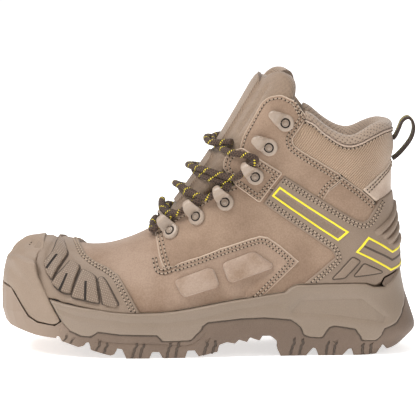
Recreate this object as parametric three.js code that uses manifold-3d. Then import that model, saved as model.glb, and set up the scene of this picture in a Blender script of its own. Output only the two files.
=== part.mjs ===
// Steel toe work boot, left foot, in millimetres with +Z up.
// The toe points along -X, the outer (lateral) side faces -Y, and the tread stands on z = 0.
// Every upper piece is a slice of one last: the last is offset to the piece's outer and inner
// faces, and the slice is cut out by the piece's outline, drawn in side view.

import * as THREE from 'three';
import { mergeVertices } from 'three/addons/utils/BufferGeometryUtils.js';
import Module from 'manifold-3d';

const wasm = await Module();
wasm.setup();

// ---------------------------------------------------------------- driving dimensions

const BOOT_LENGTH = 310;          // toe bumper to heel of the tread
const BOOT_WIDTH = 108;           // over the sole at the ball of the foot
const BOOT_HEIGHT = 213;          // ground to the top of the tongue

const CLEARANCE = 0.3;            // between pieces that touch
const LEATHER = 2.0;              // upper leather and collar textile
const OVERLAY = 2.2;              // moulded overlays on the leather
const BUMPER = 4.9;               // toe bumper's wall
const STIFFENER = 1.8;            // steel toe cap and heel counter
const LINING = 1.0;               // foot lining and collar lining
const COLLAR_PADDING = 6.7;       // foam between the collar's textile and its lining
const TONGUE = 6.0;               // padded tongue
const TONGUE_SET_BACK = 0.7;      // tongue's bulge below the leather's face, between the lacing edges
const BOARD = 1.8;                // insole board
const PLATE = 1.2;                // puncture plate
const FOOTBED = 5.0;              // removable footbed
const SOLE_CLEARANCE = 0.6;       // between the upper and the sole that is moulded around it
const CORE_DEPTH = 7;             // midsole foam under the foot
const CORE_INSET = 6;             // outsole's rim around that foam
const SHANK_WIDTH = 18;
const SHANK_THICKNESS = 1.6;

const LACE_DIAMETER = 5;
const LACE_PLAY = 2.2;            // around the lace in a loop or hook
const RIVET_SHANK_RADIUS = 2.0;
const RIVET_HEAD_RADIUS = 3.8;
const RIVET_HEAD_HEIGHT = 1.4;
const BRACKET_PLATE = 2.0;        // plate of the lace loops and hooks
const BRACKET_RADIUS = 6.6;       // round end of a loop, around its rivet
const BRACKET_TIP_RADIUS = 2.8;   // narrow end of a loop
const BRACKET_REACH = 14.2;       // rivet to the far end of a loop

const WEBBING_WIDTH = 16;
const WEBBING_THICKNESS = 2.2;
const LOOP_STANDOFF = 4.2;        // from the heel to where the pull loop swings freely

// The side-view and plan outlines below are drawn for the base size, and graded to the sizes above.
const BASE_LENGTH = 310;
const BASE_WIDTH = 108;
const BASE_HEIGHT = 213;
const GRADE_X = BOOT_LENGTH / BASE_LENGTH;
const GRADE_Y = BOOT_WIDTH / BASE_WIDTH;
const GRADE_Z = BOOT_HEIGHT / BASE_HEIGHT;

const gradeSide = (points) => points.map(([x, z]) => [x * GRADE_X, z * GRADE_Z]);
const gradePlan = (points) => points.map(
  ([x, half, centre]) => [x * GRADE_X, half * GRADE_Y, centre * GRADE_Y],
);

// ---------------------------------------------------------------- the last's profiles

// Ridge of the instep, from the toe's front up to the top of the tongue.
const CREST = gradeSide([
  [-149, 34], [-148.6, 48], [-146, 62], [-141, 72], [-133, 78.5], [-123, 81.3], [-110, 80.6], [-97, 78.4],
  [-86, 77.6], [-74, 78.8], [-62, 82.2], [-50, 87], [-41, 92], [-33, 99.5], [-25, 109], [-15, 122],
  [-5, 136.5], [5, 151.5], [13, 164.5], [25, 185], [37, 206], [49, 227],
]);
// Back seam, from the sole up to the collar.
const BACK = gradeSide([
  [128, 27], [137, 32], [141.5, 44], [142.6, 58], [141.8, 75], [139.3, 92], [136.8, 108], [135.5, 122],
  [135.6, 137], [136.2, 150], [135.6, 165], [133.5, 178],
]);
// Underside of the foot.
const BOARD_LINE = gradeSide([
  [-149, 34], [-120, 25.5], [-90, 20.5], [-60, 19], [-30, 20], [0, 23.5], [40, 29.5], [80, 33], [128, 34],
  [150, 34],
]);
// Half width and middle of the foot, seen from above.
const PLAN = gradePlan([
  [-149, 45, 5], [-130, 46, 3.5], [-110, 47.5, 1.5], [-90, 49, 0.3], [-70, 49.5, -0.6], [-50, 48.7, -1.7],
  [-30, 46.5, -2.6], [-10, 43.5, -3.3], [10, 40.7, -3.5], [30, 38.4, -3.2], [50, 36.8, -2.6],
  [70, 35.8, -1.9], [90, 35.4, -1.1], [110, 35.4, -0.6], [150, 35.6, -0.3],
]);
const TOE_TOP_X = -123 * GRADE_X;

// Monotone cubic through (a, b) pairs, going straight on past both ends.
function profile(pairs) {
  const last = pairs.length - 1;
  const step = pairs.slice(1).map((pair, i) => pair[0] - pairs[i][0]);
  const slope = step.map((h, i) => (pairs[i + 1][1] - pairs[i][1]) / h);
  const tangent = pairs.map((_, i) => {
    if (i === 0) return slope[0];
    if (i === last) return slope[last - 1];
    if (slope[i - 1] * slope[i] <= 0) return 0;
    const before = 2 * step[i] + step[i - 1];
    const after = step[i] + 2 * step[i - 1];
    return (before + after) / (before / slope[i - 1] + after / slope[i]);
  });
  return (a) => {
    if (a <= pairs[0][0]) return pairs[0][1] + (a - pairs[0][0]) * tangent[0];
    if (a >= pairs[last][0]) return pairs[last][1] + (a - pairs[last][0]) * tangent[last];
    const i = pairs.findIndex((pair) => pair[0] > a) - 1;
    const t = (a - pairs[i][0]) / step[i];
    const rise = t * t * (3 - 2 * t);
    const early = t * (1 - t) * (1 - t) * step[i] * tangent[i];
    const late = t * t * (t - 1) * step[i] * tangent[i + 1];
    return pairs[i][1] * (1 - rise) + pairs[i + 1][1] * rise + early + late;
  };
}

const swap = (pairs) => pairs.map(([a, b]) => [b, a]);
const crestAt = profile(CREST);
const backAt = profile(swap(BACK));
const boardAt = profile(BOARD_LINE);
const toeAt = profile(swap(CREST.filter(([x]) => x <= TOE_TOP_X)));
const planHalfAt = profile(PLAN.map(([x, half]) => [x, half]));
const planCentreAt = profile(PLAN.map(([x, , centre]) => [x, centre]));

const clamp01 = (t) => Math.min(1, Math.max(0, t));
const smooth = (t) => clamp01(t) ** 2 * (3 - 2 * clamp01(t));
const mix = (a, b, t) => a + (b - a) * t;
const arch = (t, power) => (1 - (1 - clamp01(t)) ** power) ** (1 / power);

// Half width of the foot at a point of the side view, on the surface `offset` outside the leather.
function halfWidth(x, z, offset) {
  const baseX = x / GRADE_X;
  const baseZ = z / GRADE_Z;
  const foot = planHalfAt(x) + offset;
  const shaft = (33.5 + 3.5 * smooth((baseZ - 125) / 40)) * GRADE_Y + offset;
  const full = mix(foot, Math.min(shaft, foot + 3), smooth((baseZ - 42) / 62));
  const slope = baseX < -125 ? 0 : (crestAt(x + 1) - crestAt(x - 1)) / 2;
  const fromCrest = (crestAt(x) - z) / Math.hypot(1, slope) + offset;
  const baseRadius = 34 + 8 * smooth((baseX + 125) / 60) - 4 * smooth((baseX + 30) / 50);
  const ridgeRadius = baseRadius * GRADE_Z + offset;
  const power = 2.5 - 0.4 * smooth((baseX + 120) / 50);
  const toeLine = baseZ > 81.2 ? TOE_TOP_X : toeAt(z);
  const toe = Math.max(x - toeLine + offset, 1e-6) / (52 * GRADE_X + offset);
  const ridge = Math.max(fromCrest, 1e-6) / ridgeRadius;
  const both = 1 / Math.hypot(1 / toe, 1 / ridge);
  const back = (backAt(z) - x + offset) / (37 * GRADE_X + offset);
  return full * arch(mix(both, ridge, smooth((baseX + 105) / 20)), power) * arch(back, 2.1);
}

function middle(x, z) {
  return mix(planCentreAt(x), -1 * GRADE_Y, smooth((z / GRADE_Z - 60) / 60));
}

// ---------------------------------------------------------------- solids

function solidOf(geometry) {
  geometry.deleteAttribute('normal');
  geometry.deleteAttribute('uv');
  const merged = mergeVertices(geometry, 1e-4);
  return new wasm.Manifold(new wasm.Mesh({
    numProp: 3,
    vertProperties: new Float32Array(merged.attributes.position.array),
    triVerts: new Uint32Array(merged.index.array),
  }));
}

// Rings of points, each the same length, joined into a closed skin; each end ring is closed by a
// ladder between its first half and its second half taken backwards.
function loft(rings) {
  const count = rings[0].length;
  const triangles = [];
  for (let i = 0; i + 1 < rings.length; i += 1) {
    for (let j = 0; j < count; j += 1) {
      const here = i * count + j;
      const next = i * count + ((j + 1) % count);
      triangles.push(here, here + count, next, next, here + count, next + count);
    }
  }
  const ladder = (start, flip) => {
    for (let j = 0; j + 1 < count / 2; j += 1) {
      const [a, b] = [start + j, start + j + 1];
      const [c, d] = [start + count - 1 - j, start + count - 2 - j];
      if (flip) triangles.push(a, c, b, b, c, d);
      else triangles.push(a, b, c, b, d, c);
    }
  };
  ladder(0, false);
  ladder((rings.length - 1) * count, true);
  const geometry = new THREE.BufferGeometry();
  geometry.setAttribute('position', new THREE.Float32BufferAttribute(rings.flat(2), 3));
  geometry.setIndex(triangles);
  return solidOf(geometry);
}

// Each station of the last is a line across the side view, from the underside up to the crest or,
// past the crest's end, up to a line over the collar.
const CREST_STATIONS = [
  [-149, 48], [-147.5, 57], [-143, 68.5], [-134, 78], [-121, 81.3], [-106, 80], [-90, 77.7], [-74, 78.8],
  [-59, 83.2], [-46, 89], [-34, 98.4], [-22, 112.7], [-9, 130.6], [4, 150], [18, 173], [33, 199], [49, 227],
];
const BOTTOM_STATIONS = [
  -149, -147, -142, -132.5, -119, -104, -88, -72, -57, -43, -30, -17, -4, 11, 27, 44, 61,
];
const TOP_LINE_END = [133.5, 178];
const OVER_COLLAR = [0.3, 0.57, 0.78, 0.91, 0.975, 1];
const BOTTOM_END = 138;
const ROWS = 8;

// The foot's solid out to an offset from the leather's face, with its floor lowered by `drop`.
function lastSolid(offset, drop = 0) {
  const bottomEnd = BOTTOM_END * GRADE_X + offset;
  const bottoms = BOTTOM_STATIONS.map((x, i) => x * GRADE_X - offset * (1 - smooth(i / 6)));
  const tops = CREST_STATIONS.map(([x, z], i) => {
    const a = CREST_STATIONS[Math.max(i - 1, 0)];
    const b = CREST_STATIONS[Math.min(i + 1, CREST_STATIONS.length - 1)];
    const run = [(b[0] - a[0]) * GRADE_X, (b[1] - a[1]) * GRADE_Z];
    const size = Math.hypot(...run);
    const normal = i === 0 ? [-1, 0] : [-run[1] / size, run[0] / size];
    return [x * GRADE_X + normal[0] * offset, z * GRADE_Z + normal[1] * offset];
  });
  const crestEnd = tops[tops.length - 1];
  const bottomOfCrestEnd = bottoms[bottoms.length - 1];
  OVER_COLLAR.forEach((t) => {
    bottoms.push(mix(bottomOfCrestEnd, bottomEnd, t));
    tops.push([
      mix(crestEnd[0], TOP_LINE_END[0] * GRADE_X + offset, t), mix(crestEnd[1], TOP_LINE_END[1] * GRADE_Z, t),
    ]);
  });
  const rings = tops.map(([topX, topZ], i) => {
    const bottomX = bottoms[i];
    const bottomZ = boardAt(bottomX);
    const bend = clamp01((i - CREST_STATIONS.length + 4) / (OVER_COLLAR.length + 3)) ** 1.5;
    const left = [];
    const right = [];
    for (let j = 0; j <= ROWS; j += 1) {
      const v = Math.sin((Math.PI / 2) * (j / ROWS) ** 0.9);
      const z = mix(bottomZ, topZ, v);
      const straightBack = mix(bottomEnd, TOP_LINE_END[0] * GRADE_X + offset, v);
      const backZ = mix(boardAt(bottomEnd), TOP_LINE_END[1] * GRADE_Z, v);
      const x = mix(bottomX, topX, v) + bend * (backAt(backZ) + offset - straightBack);
      const half = Math.max(halfWidth(x, z, offset), 0.8);
      const centre = middle(x, z);
      left.push([x, centre - half, z]);
      right.unshift([x, centre + half, z]);
    }
    if (drop > 0) {
      left.unshift([left[0][0], left[0][1], left[0][2] - drop]);
      right.push([left[0][0], right[right.length - 1][1], left[0][2]]);
    }
    return [...left, ...right];
  });
  return loft(rings);
}

// A side-view outline, pushed straight through the boot.
const REACH = BOOT_WIDTH;
function prism(outline, fromY = -REACH, toY = REACH) {
  const shape = new THREE.Shape(outline.map(([x, z]) => new THREE.Vector2(x, z)));
  const geometry = new THREE.ExtrudeGeometry(shape, { depth: toY - fromY, bevelEnabled: false });
  geometry.rotateX(Math.PI / 2);
  geometry.translate(0, toY, 0);
  return solidOf(geometry);
}

// The outline moved out by a distance, or in by a negative one, with mitred corners.
function grow(outline, distance) {
  const area = outline.reduce((sum, [x, z], i) => {
    const [nextX, nextZ] = outline[(i + 1) % outline.length];
    return sum + x * nextZ - nextX * z;
  }, 0);
  const side = Math.sign(area) * distance;
  return outline.map(([x, z], i) => {
    const [beforeX, beforeZ] = outline[(i + outline.length - 1) % outline.length];
    const [afterX, afterZ] = outline[(i + 1) % outline.length];
    const into = new THREE.Vector2(x - beforeX, z - beforeZ).normalize();
    const out = new THREE.Vector2(afterX - x, afterZ - z).normalize();
    const normal = new THREE.Vector2(into.y + out.y, -into.x - out.x).normalize();
    const cosine = Math.max(0.4, normal.x * into.y - normal.y * into.x);
    return [x + (normal.x * side) / cosine, z + (normal.y * side) / cosine];
  });
}

// Layers of the upper, measured out from the leather's face.
const UNDER_LEATHER = -LEATHER - CLEARANCE;
const UNDER_STIFFENER = UNDER_LEATHER - STIFFENER - CLEARANCE;
const UNDER_LINING = UNDER_STIFFENER - LINING - CLEARANCE;
const UNDER_PADDING = UNDER_LEATHER - COLLAR_PADDING - CLEARANCE;
const OVERLAY_FACE = CLEARANCE + OVERLAY;
const BUMPER_FACE = CLEARANCE + BUMPER;
const TONGUE_FACE = -TONGUE_SET_BACK;
const OPEN_BELOW = 30;

const shells = new Map();
function shell(outer, inner) {
  const key = `${outer} ${inner}`;
  if (!shells.has(key)) shells.set(key, lastSolid(outer).subtract(lastSolid(inner, OPEN_BELOW)));
  return shells.get(key);
}

// A panel is its outline's slice of a layer, drawn in by half a clearance on every side.
function panel(outline, outer, inner) {
  return shell(outer, inner).intersect(prism(grow(outline, -CLEARANCE / 2)));
}

// All of the side view, for cutting a piece into its lateral and its medial half.
const EVERYTHING = [
  [-BOOT_LENGTH, -BOOT_HEIGHT], [BOOT_LENGTH, -BOOT_HEIGHT],
  [BOOT_LENGTH, 2 * BOOT_HEIGHT], [-BOOT_LENGTH, 2 * BOOT_HEIGHT],
];
const lateralHalf = (solid) => solid.intersect(prism(EVERYTHING, -REACH, 0));
const medialHalf = (solid) => solid.intersect(prism(EVERYTHING, 0, REACH));

// ---------------------------------------------------------------- materials and nodes

const FINISHES = {
  leather: { color: '#b89f88', roughness: 0.85, metalness: 0 },
  moulded: { color: '#9d8c7b', roughness: 0.7, metalness: 0 },
  rubber: { color: '#94826f', roughness: 0.8, metalness: 0 },
  textile: { color: '#a8917a', roughness: 0.95, metalness: 0 },
  mesh: { color: '#8f7a66', roughness: 1, metalness: 0 },
  hardware: { color: '#a89c8c', roughness: 0.5, metalness: 0.1 },
  rivet: { color: '#8d8478', roughness: 0.35, metalness: 0.8 },
  lace: { color: '#5d4a3b', roughness: 0.9, metalness: 0 },
  steel: { color: '#8c8f93', roughness: 0.35, metalness: 0.9 },
  foam: { color: '#d9d2c3', roughness: 1, metalness: 0 },
  board: { color: '#b39b72', roughness: 0.9, metalness: 0 },
};

const boot = new THREE.Group();
const groups = {};
['sole', 'upper', 'inside', 'collar', 'hardware', 'lacing'].forEach((name) => {
  groups[name] = new THREE.Group();
  boot.add(groups[name]);
});

function addPiece(group, name, solid, finish) {
  const { vertProperties, triVerts, numProp } = solid.getMesh();
  const positions = new Float32Array(vertProperties.length / numProp * 3);
  for (let i = 0; i < positions.length / 3; i += 1) {
    positions.set(vertProperties.subarray(i * numProp, i * numProp + 3), i * 3);
  }
  const geometry = new THREE.BufferGeometry();
  geometry.setAttribute('position', new THREE.BufferAttribute(positions, 3));
  geometry.setIndex(new THREE.BufferAttribute(new Uint32Array(triVerts), 1));
  geometry.computeVertexNormals();
  const mesh = new THREE.Mesh(geometry, new THREE.MeshStandardMaterial(FINISHES[finish]));
  mesh.name = name;
  groups[group].add(mesh);
}

// ---------------------------------------------------------------- sole

// Top edge of the midsole, from the bumper back to the heel.
const RIM = gradeSide([
  [-117, 43], [-105, 40], [-94, 38], [-83, 36], [-72, 34.3], [-61, 33.3], [-48, 33], [-35, 33.3], [-24, 34.3],
  [-13, 36], [-2, 38], [9, 40], [20, 41.8], [31, 43.2], [42, 45], [57, 47], [61, 50.5], [66, 52.5], [90, 53],
  [109, 53.3], [117, 53], [123, 50.5], [131, 50],
]);
// The bumper's rear edge, from the top of the toe down to the outsole.
const BUMPER_EDGE = gradeSide([
  [-121, 79], [-125, 75], [-127, 69], [-126, 61], [-122, 53], [-117, 43], [-112, 34],
]);
const BUMPER_CORNER = gradeSide([[-108, 27]]);
const CREASE = gradeSide([[-113, 23.5], [-126, 25], [-133, 29], [-139, 38], [-146, 49], [-165, 52]]);
// Where the midsole meets the outsole, from the toe to the heel.
const PARTING = gradeSide([
  [-102, 20], [-94, 16.5], [-86, 15.8], [-81, 19.5], [-65, 17.5], [-38, 17], [-34, 12.5], [-13, 13],
  [-10, 15.5], [-4, 23], [0, 26], [24, 28.3], [42, 28.8], [61, 27], [65, 24.5], [71, 15.5], [75, 14],
  [84, 13.3], [90, 21],
  [94, 22], [109, 19.5], [114, 11], [125, 11], [128, 14], [131, 19.5], [140, 23], [144, 29], [145, 33],
]);
const HEEL_WRAP_EDGE = gradeSide([[131, 50], [129, 52.5], [131, 56.5], [140, 60], [142, 64.5]]);
// The tread from the heel forwards: each lug is a foot below the notches, cut flat by the ground.
const TREAD = gradeSide([
  [165, 64.5], [165, 22], [154.5, 12], [147, 7.5], [139, 4], [133, 3], [129.5, 7.5], [125, -1], [108, -1],
  [106.5, 5], [104.5, 5], [99, -1], [82, -1], [80, 5], [78, 6], [72, -1], [54, -1], [51.5, 5], [50.5, 12],
  [46, 15.5], [40, 15.5],
  [38, 12], [31, 14.5], [29, 11], [23, 13], [20, 10], [14, 11.3], [8.5, 9.5], [7, 4], [-7, 0.8], [-9.5, 5.5],
  [-15, 5.5], [-17, -1], [-33, -1], [-36, 4.8], [-41, 4.8], [-43.5, -1], [-60, -1], [-63.5, 7], [-67, 7.5],
  [-69, 3],
  [-72, 2], [-86, 6], [-88, 12], [-90, 11.5], [-92, 9], [-96, 8], [-108, 12], [-110, 15.5], [-111.5, 15.5],
  [-112, 14], [-117, 14.3], [-128, 15.5], [-140, 18.5], [-148, 20.5], [-153, 24], [-165, 34],
]);

// Levels of the sole block: height, toe, heel, and how far the wall stands out from the foot.
const SOLE_LEVELS = [
  [0, -146, 138, 2.4, 2.4], [8, -147.5, 147, 3.1, 3.1], [18, -151, 155, 3.6, 4.6], [32, -155, 151, 3.64, 4.9],
  [46, -155, 146.5, 3.1, 4.4], [70, -152, 142.5, 2.4, 3.4],
];
const SOLE_SECTION_Z = 42 * GRADE_Z;
const SOLE_STEPS = 26;

function soleBlock() {
  const [footToe, footHeel] = [toeAt(SOLE_SECTION_Z), backAt(SOLE_SECTION_Z)];
  const rings = SOLE_LEVELS.map(([level, toe, heel, lateral, medial]) => {
    const left = [];
    const right = [];
    for (let i = 0; i <= SOLE_STEPS; i += 1) {
      const t = (1 - Math.cos((Math.PI * i) / SOLE_STEPS)) / 2;
      const footX = mix(footToe, footHeel, t);
      const x = mix(toe * GRADE_X, heel * GRADE_X, t);
      const half = halfWidth(footX, SOLE_SECTION_Z, 0);
      left.push([x, middle(footX, SOLE_SECTION_Z) - half - lateral * GRADE_Y, level * GRADE_Z]);
      right.unshift([x, middle(footX, SOLE_SECTION_Z) + half + medial * GRADE_Y, level * GRADE_Z]);
    }
    return [...left, ...right];
  });
  return loft(rings.reverse());
}

const block = soleBlock();
const footCavity = lastSolid(SOLE_CLEARANCE, CLEARANCE);

const outsoleOutline = [...PARTING, ...HEEL_WRAP_EDGE, ...TREAD, ...[...CREASE].reverse(), ...BUMPER_CORNER];
const midsoleOutline = [
  ...BUMPER_EDGE.slice(-2), ...BUMPER_CORNER, ...PARTING, ...[...RIM].reverse().slice(0, -1),
];
const bumperOutline = [
  ...gradeSide([[-165, 100], [-121, 100]]), ...BUMPER_EDGE, ...BUMPER_CORNER, ...CREASE,
];

// A strip that follows the underside of the foot, between two heights over it.
function underfoot(fromX, toX, low, high) {
  const steps = 12;
  const line = Array.from({ length: steps + 1 }, (_, i) => mix(fromX, toX, i / steps));
  const below = line.map((x) => [x, boardAt(x) + low]);
  const above = line.map((x) => [x, boardAt(x) + high]);
  return [...below, ...above.reverse()];
}

const SHANK_FROM = -38 * GRADE_X;
const SHANK_TO = 72 * GRADE_X;
const shankTop = -CLEARANCE * 2;
const shankOutline = underfoot(SHANK_FROM, SHANK_TO, shankTop - SHANK_THICKNESS, shankTop);
const shankPocketFloor = shankTop - SHANK_THICKNESS - CLEARANCE;
const shankPocketOutline = underfoot(SHANK_FROM - CLEARANCE, SHANK_TO + CLEARANCE, shankPocketFloor, 1);
const shankPocket = prism(shankPocketOutline, -SHANK_WIDTH / 2 - CLEARANCE, SHANK_WIDTH / 2 + CLEARANCE);

// The midsole's foam core fills the sole under the foot, inside the outsole's rim.
const core = lastSolid(-CORE_INSET, CORE_DEPTH).intersect(block);
const coreHollow = lastSolid(CLEARANCE - CORE_INSET, CORE_DEPTH + CLEARANCE).add(footCavity);

const outsole = block.intersect(prism(grow(outsoleOutline, -CLEARANCE / 2))).subtract(coreHollow);
addPiece('sole', 'outsole', outsole, 'rubber');
const midsoleRim = block.intersect(prism(grow(midsoleOutline, -CLEARANCE / 2)));
addPiece('sole', 'midsole', midsoleRim.add(core).subtract(footCavity).subtract(shankPocket), 'moulded');
const bumper = block.add(lastSolid(BUMPER_FACE)).intersect(prism(grow(bumperOutline, -CLEARANCE / 2)));
addPiece('sole', 'toe_bumper', bumper.subtract(coreHollow).subtract(lastSolid(CLEARANCE)), 'moulded');
addPiece('sole', 'shank', prism(shankOutline, -SHANK_WIDTH / 2, SHANK_WIDTH / 2), 'steel');

// ---------------------------------------------------------------- upper leather and textile

const THROAT_EDGE = gradeSide([[-41.5, 95], [-38, 84], [-36, 74], [-33, 66]]);
const SIDE_SEAM = gradeSide([
  [-13, 72], [9, 80], [31, 87], [38, 89], [44, 88], [53, 82], [67, 70], [41, 45], [38, 38],
]);
const LACING_EDGE = gradeSide([
  [-36, 94.5], [-28, 98], [-17, 105], [-2, 115], [9, 122], [20, 126], [24, 131], [25, 139],
]);
const FACING_EDGE = gradeSide([[23, 147], [24, 155], [26, 162], [40, 187.5], [45, 191.5], [54, 193.5]]);
const ARM_SEAM = gradeSide([[48, 124], [86, 99], [101, 89]]);
const TEXTILE_EDGE = gradeSide([[73, 177], [62, 161], [63, 157], [68, 153], [98, 134.5]]);
const ANKLE_SEAM = gradeSide([[98, 130], [90, 124]]);
const COLLAR_LOW = gradeSide([[114, 123], [124, 113.5]]);
const BACK_TAB_TOP = gradeSide([[127, 134.5], [135, 143], [150, 146]]);
const TOPLINE = gradeSide([
  [77, 177.5], [85, 170], [92, 165.5], [99, 162], [105, 161], [111, 162.5], [119, 167], [127, 170.5],
  [150, 171],
]);
const FLOOR = 10 * GRADE_Z;
const HEEL_SEAM_X = ARM_SEAM[2][0];
const SIDE_SEAM_X = SIDE_SEAM[SIDE_SEAM.length - 1][0];
const PAST_TOE = -170 * GRADE_X;
const PAST_HEEL = 150 * GRADE_X;
const OVER_TOE = 100 * GRADE_Z;

const vampOutline = [
  [PAST_TOE, FLOOR], [PAST_TOE, OVER_TOE], [-60 * GRADE_X, OVER_TOE], ...THROAT_EDGE, ...SIDE_SEAM,
  [SIDE_SEAM_X, FLOOR],
];
const quarterOutline = [
  ...THROAT_EDGE.slice(0, 1), ...LACING_EDGE, ...ARM_SEAM, [HEEL_SEAM_X, FLOOR], [SIDE_SEAM_X, FLOOR],
  ...[...SIDE_SEAM].reverse(), ...THROAT_EDGE.slice(1).reverse(),
];
const facingOutline = [
  ...LACING_EDGE.slice(-1), ...FACING_EDGE, ...TEXTILE_EDGE, ...ANKLE_SEAM, ...ARM_SEAM.slice(0, 2).reverse(),
];
const anklePanelOutline = [
  ...TEXTILE_EDGE.slice(-1), ...COLLAR_LOW, ...gradeSide([[125, 100]]), ...ARM_SEAM.slice(1).reverse(),
  ...[...ANKLE_SEAM].reverse(),
];
const BACK_TAB_LOW = gradeSide([[134, 118.5], [150, 118.5]]);
const heelPanelOutline = [
  ...ARM_SEAM.slice(-1), ...gradeSide([[125, 100]]), ...COLLAR_LOW.slice(-1), ...BACK_TAB_LOW,
  [PAST_HEEL, FLOOR], [HEEL_SEAM_X, FLOOR],
];
const backTabOutline = [...COLLAR_LOW, ...BACK_TAB_LOW, ...[...BACK_TAB_TOP].reverse()];
const collarOutline = [
  ...TEXTILE_EDGE, ...COLLAR_LOW.slice(0, 1), ...BACK_TAB_TOP, ...[...TOPLINE].reverse(),
];

const punched = (solid, holes) => holes.reduce((rest, hole) => rest.subtract(hole), solid);

// ---------------------------------------------------------------- lace loops, hooks and rivets

// A point on the boot's side: side is -1 outside and 1 inside the foot.
function surfacePoint(x, z, side, height = 0) {
  const wall = (a, b) => middle(a, b) + side * halfWidth(a, b, 0);
  const slopeX = (wall(x + 0.5, z) - wall(x - 0.5, z)) * side;
  const slopeZ = (wall(x, z + 0.5) - wall(x, z - 0.5)) * side;
  const normal = new THREE.Vector3(-slopeX, side, -slopeZ).normalize();
  return { point: new THREE.Vector3(x, wall(x, z), z).addScaledVector(normal, height), normal };
}

// Rivet and tip of each bracket in side view, from the toe up; the hooks are the last two.
const BRACKETS = [
  { rivet: [-27, 90.5], tip: [-31.5, 97], closed: true, base: 0 },
  { rivet: [-8, 102], tip: [-12.5, 110.5], closed: true, base: 0 },
  { rivet: [13, 113.5], tip: [8, 122.5], closed: true, base: 0 },
  { rivet: [35, 133.5], tip: [27, 142.5], closed: true, base: OVERLAY_FACE },
  { rivet: [45, 155], tip: [35.5, 161], closed: false, base: 0 },
  { rivet: [57, 173], tip: [47.5, 179.5], closed: false, base: 0 },
].map((bracket) => ({
  ...bracket,
  rivet: gradeSide([bracket.rivet])[0],
  tip: gradeSide([bracket.tip])[0],
}));

// The bracket's own frame: u to its tip, v across it, n out of the leather.
function bracketFrame({ rivet, tip, base }, side) {
  const { point, normal } = surfacePoint(...rivet, side, base);
  const toTip = surfacePoint(...tip, side, base).point.sub(point);
  const u = toTip.addScaledVector(normal, -toTip.dot(normal)).normalize();
  const v = normal.clone().cross(u);
  return new THREE.Matrix4().makeBasis(u, v, normal).setPosition(point);
}

const LACE_RADIUS = LACE_DIAMETER / 2;
const THROAT_RADIUS = LACE_RADIUS + LACE_PLAY / 2;
const WALL_TOP = 2 * THROAT_RADIUS + 2.6;
const THROAT_U = BRACKET_REACH - THROAT_RADIUS - 1.3;
const THROAT_N = THROAT_RADIUS + 1;
const HOLE_RADIUS = RIVET_SHANK_RADIUS + CLEARANCE;
const PLATE_TOP = CLEARANCE + BRACKET_PLATE;
const SEAT_DEPTH = 3;             // a bracket starts this far down, and the leather's face cuts it off

// Side profile of a bracket in (u, n): a plate under the rivet that rises into the lace's throat.
function bracketProfile(closed) {
  const shape = new THREE.Shape();
  shape.moveTo(-BRACKET_RADIUS - 1, -SEAT_DEPTH);
  if (closed) {
    shape.lineTo(BRACKET_REACH, -SEAT_DEPTH);
    shape.lineTo(BRACKET_REACH, WALL_TOP - 2.5);
    shape.lineTo(BRACKET_REACH - 2, WALL_TOP - 0.4);
    shape.lineTo(THROAT_U, WALL_TOP);
  } else {
    const riser = THROAT_U - THROAT_RADIUS;
    shape.lineTo(riser, -SEAT_DEPTH);
    shape.lineTo(riser, WALL_TOP - 1.8);
    shape.lineTo(BRACKET_REACH + 2, WALL_TOP - 1.8);
    shape.lineTo(BRACKET_REACH + 2, WALL_TOP - 0.6);
    shape.lineTo(BRACKET_REACH, WALL_TOP);
  }
  shape.lineTo(THROAT_U - 4, WALL_TOP - 0.4);
  shape.lineTo(RIVET_HEAD_RADIUS + CLEARANCE, PLATE_TOP);
  shape.lineTo(-BRACKET_RADIUS - 1, PLATE_TOP);
  shape.closePath();
  if (closed) {
    const throat = new THREE.Path();
    throat.absarc(THROAT_U, THROAT_N, THROAT_RADIUS, 0, Math.PI * 2, true);
    shape.holes.push(throat);
  }
  return shape;
}

// Outline of a bracket seen from outside, in (u, v): a teardrop around the rivet and the tip.
function bracketOutline() {
  const shape = new THREE.Shape();
  const tipCentre = BRACKET_REACH - BRACKET_TIP_RADIUS + 0.5;
  const lean = Math.acos((BRACKET_RADIUS - BRACKET_TIP_RADIUS) / tipCentre);
  shape.absarc(0, 0, BRACKET_RADIUS, lean, -lean, false);
  shape.absarc(tipCentre, 0, BRACKET_TIP_RADIUS, -lean, lean, false);
  shape.closePath();
  return shape;
}

const CURVE_STEPS = 4;
function bracketSolid(closed) {
  const profileSolid = new THREE.ExtrudeGeometry(bracketProfile(closed), {
    depth: BRACKET_RADIUS * 2 + 2, bevelEnabled: false, curveSegments: CURVE_STEPS,
  });
  profileSolid.rotateX(Math.PI / 2);
  profileSolid.translate(0, BRACKET_RADIUS + 1, 0);
  const outlineSolid = new THREE.ExtrudeGeometry(bracketOutline(), {
    depth: WALL_TOP + SEAT_DEPTH + 2, bevelEnabled: false, curveSegments: CURVE_STEPS,
  });
  outlineSolid.translate(0, 0, -SEAT_DEPTH - 1);
  const hole = new THREE.CylinderGeometry(HOLE_RADIUS, HOLE_RADIUS, 30, 12);
  hole.rotateX(Math.PI / 2);
  return solidOf(profileSolid).intersect(solidOf(outlineSolid)).subtract(solidOf(hole));
}

function rivetSolid(length) {
  const rim = RIVET_HEAD_RADIUS;
  const top = PLATE_TOP + CLEARANCE;
  const turned = new THREE.LatheGeometry([
    new THREE.Vector2(0, -length),
    new THREE.Vector2(RIVET_SHANK_RADIUS, -length),
    new THREE.Vector2(RIVET_SHANK_RADIUS, top),
    new THREE.Vector2(rim, top),
    new THREE.Vector2(rim * 0.85, top + RIVET_HEAD_HEIGHT * 0.8),
    new THREE.Vector2(0, top + RIVET_HEAD_HEIGHT),
  ], 10);
  turned.rotateX(Math.PI / 2);
  return solidOf(turned);
}

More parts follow.
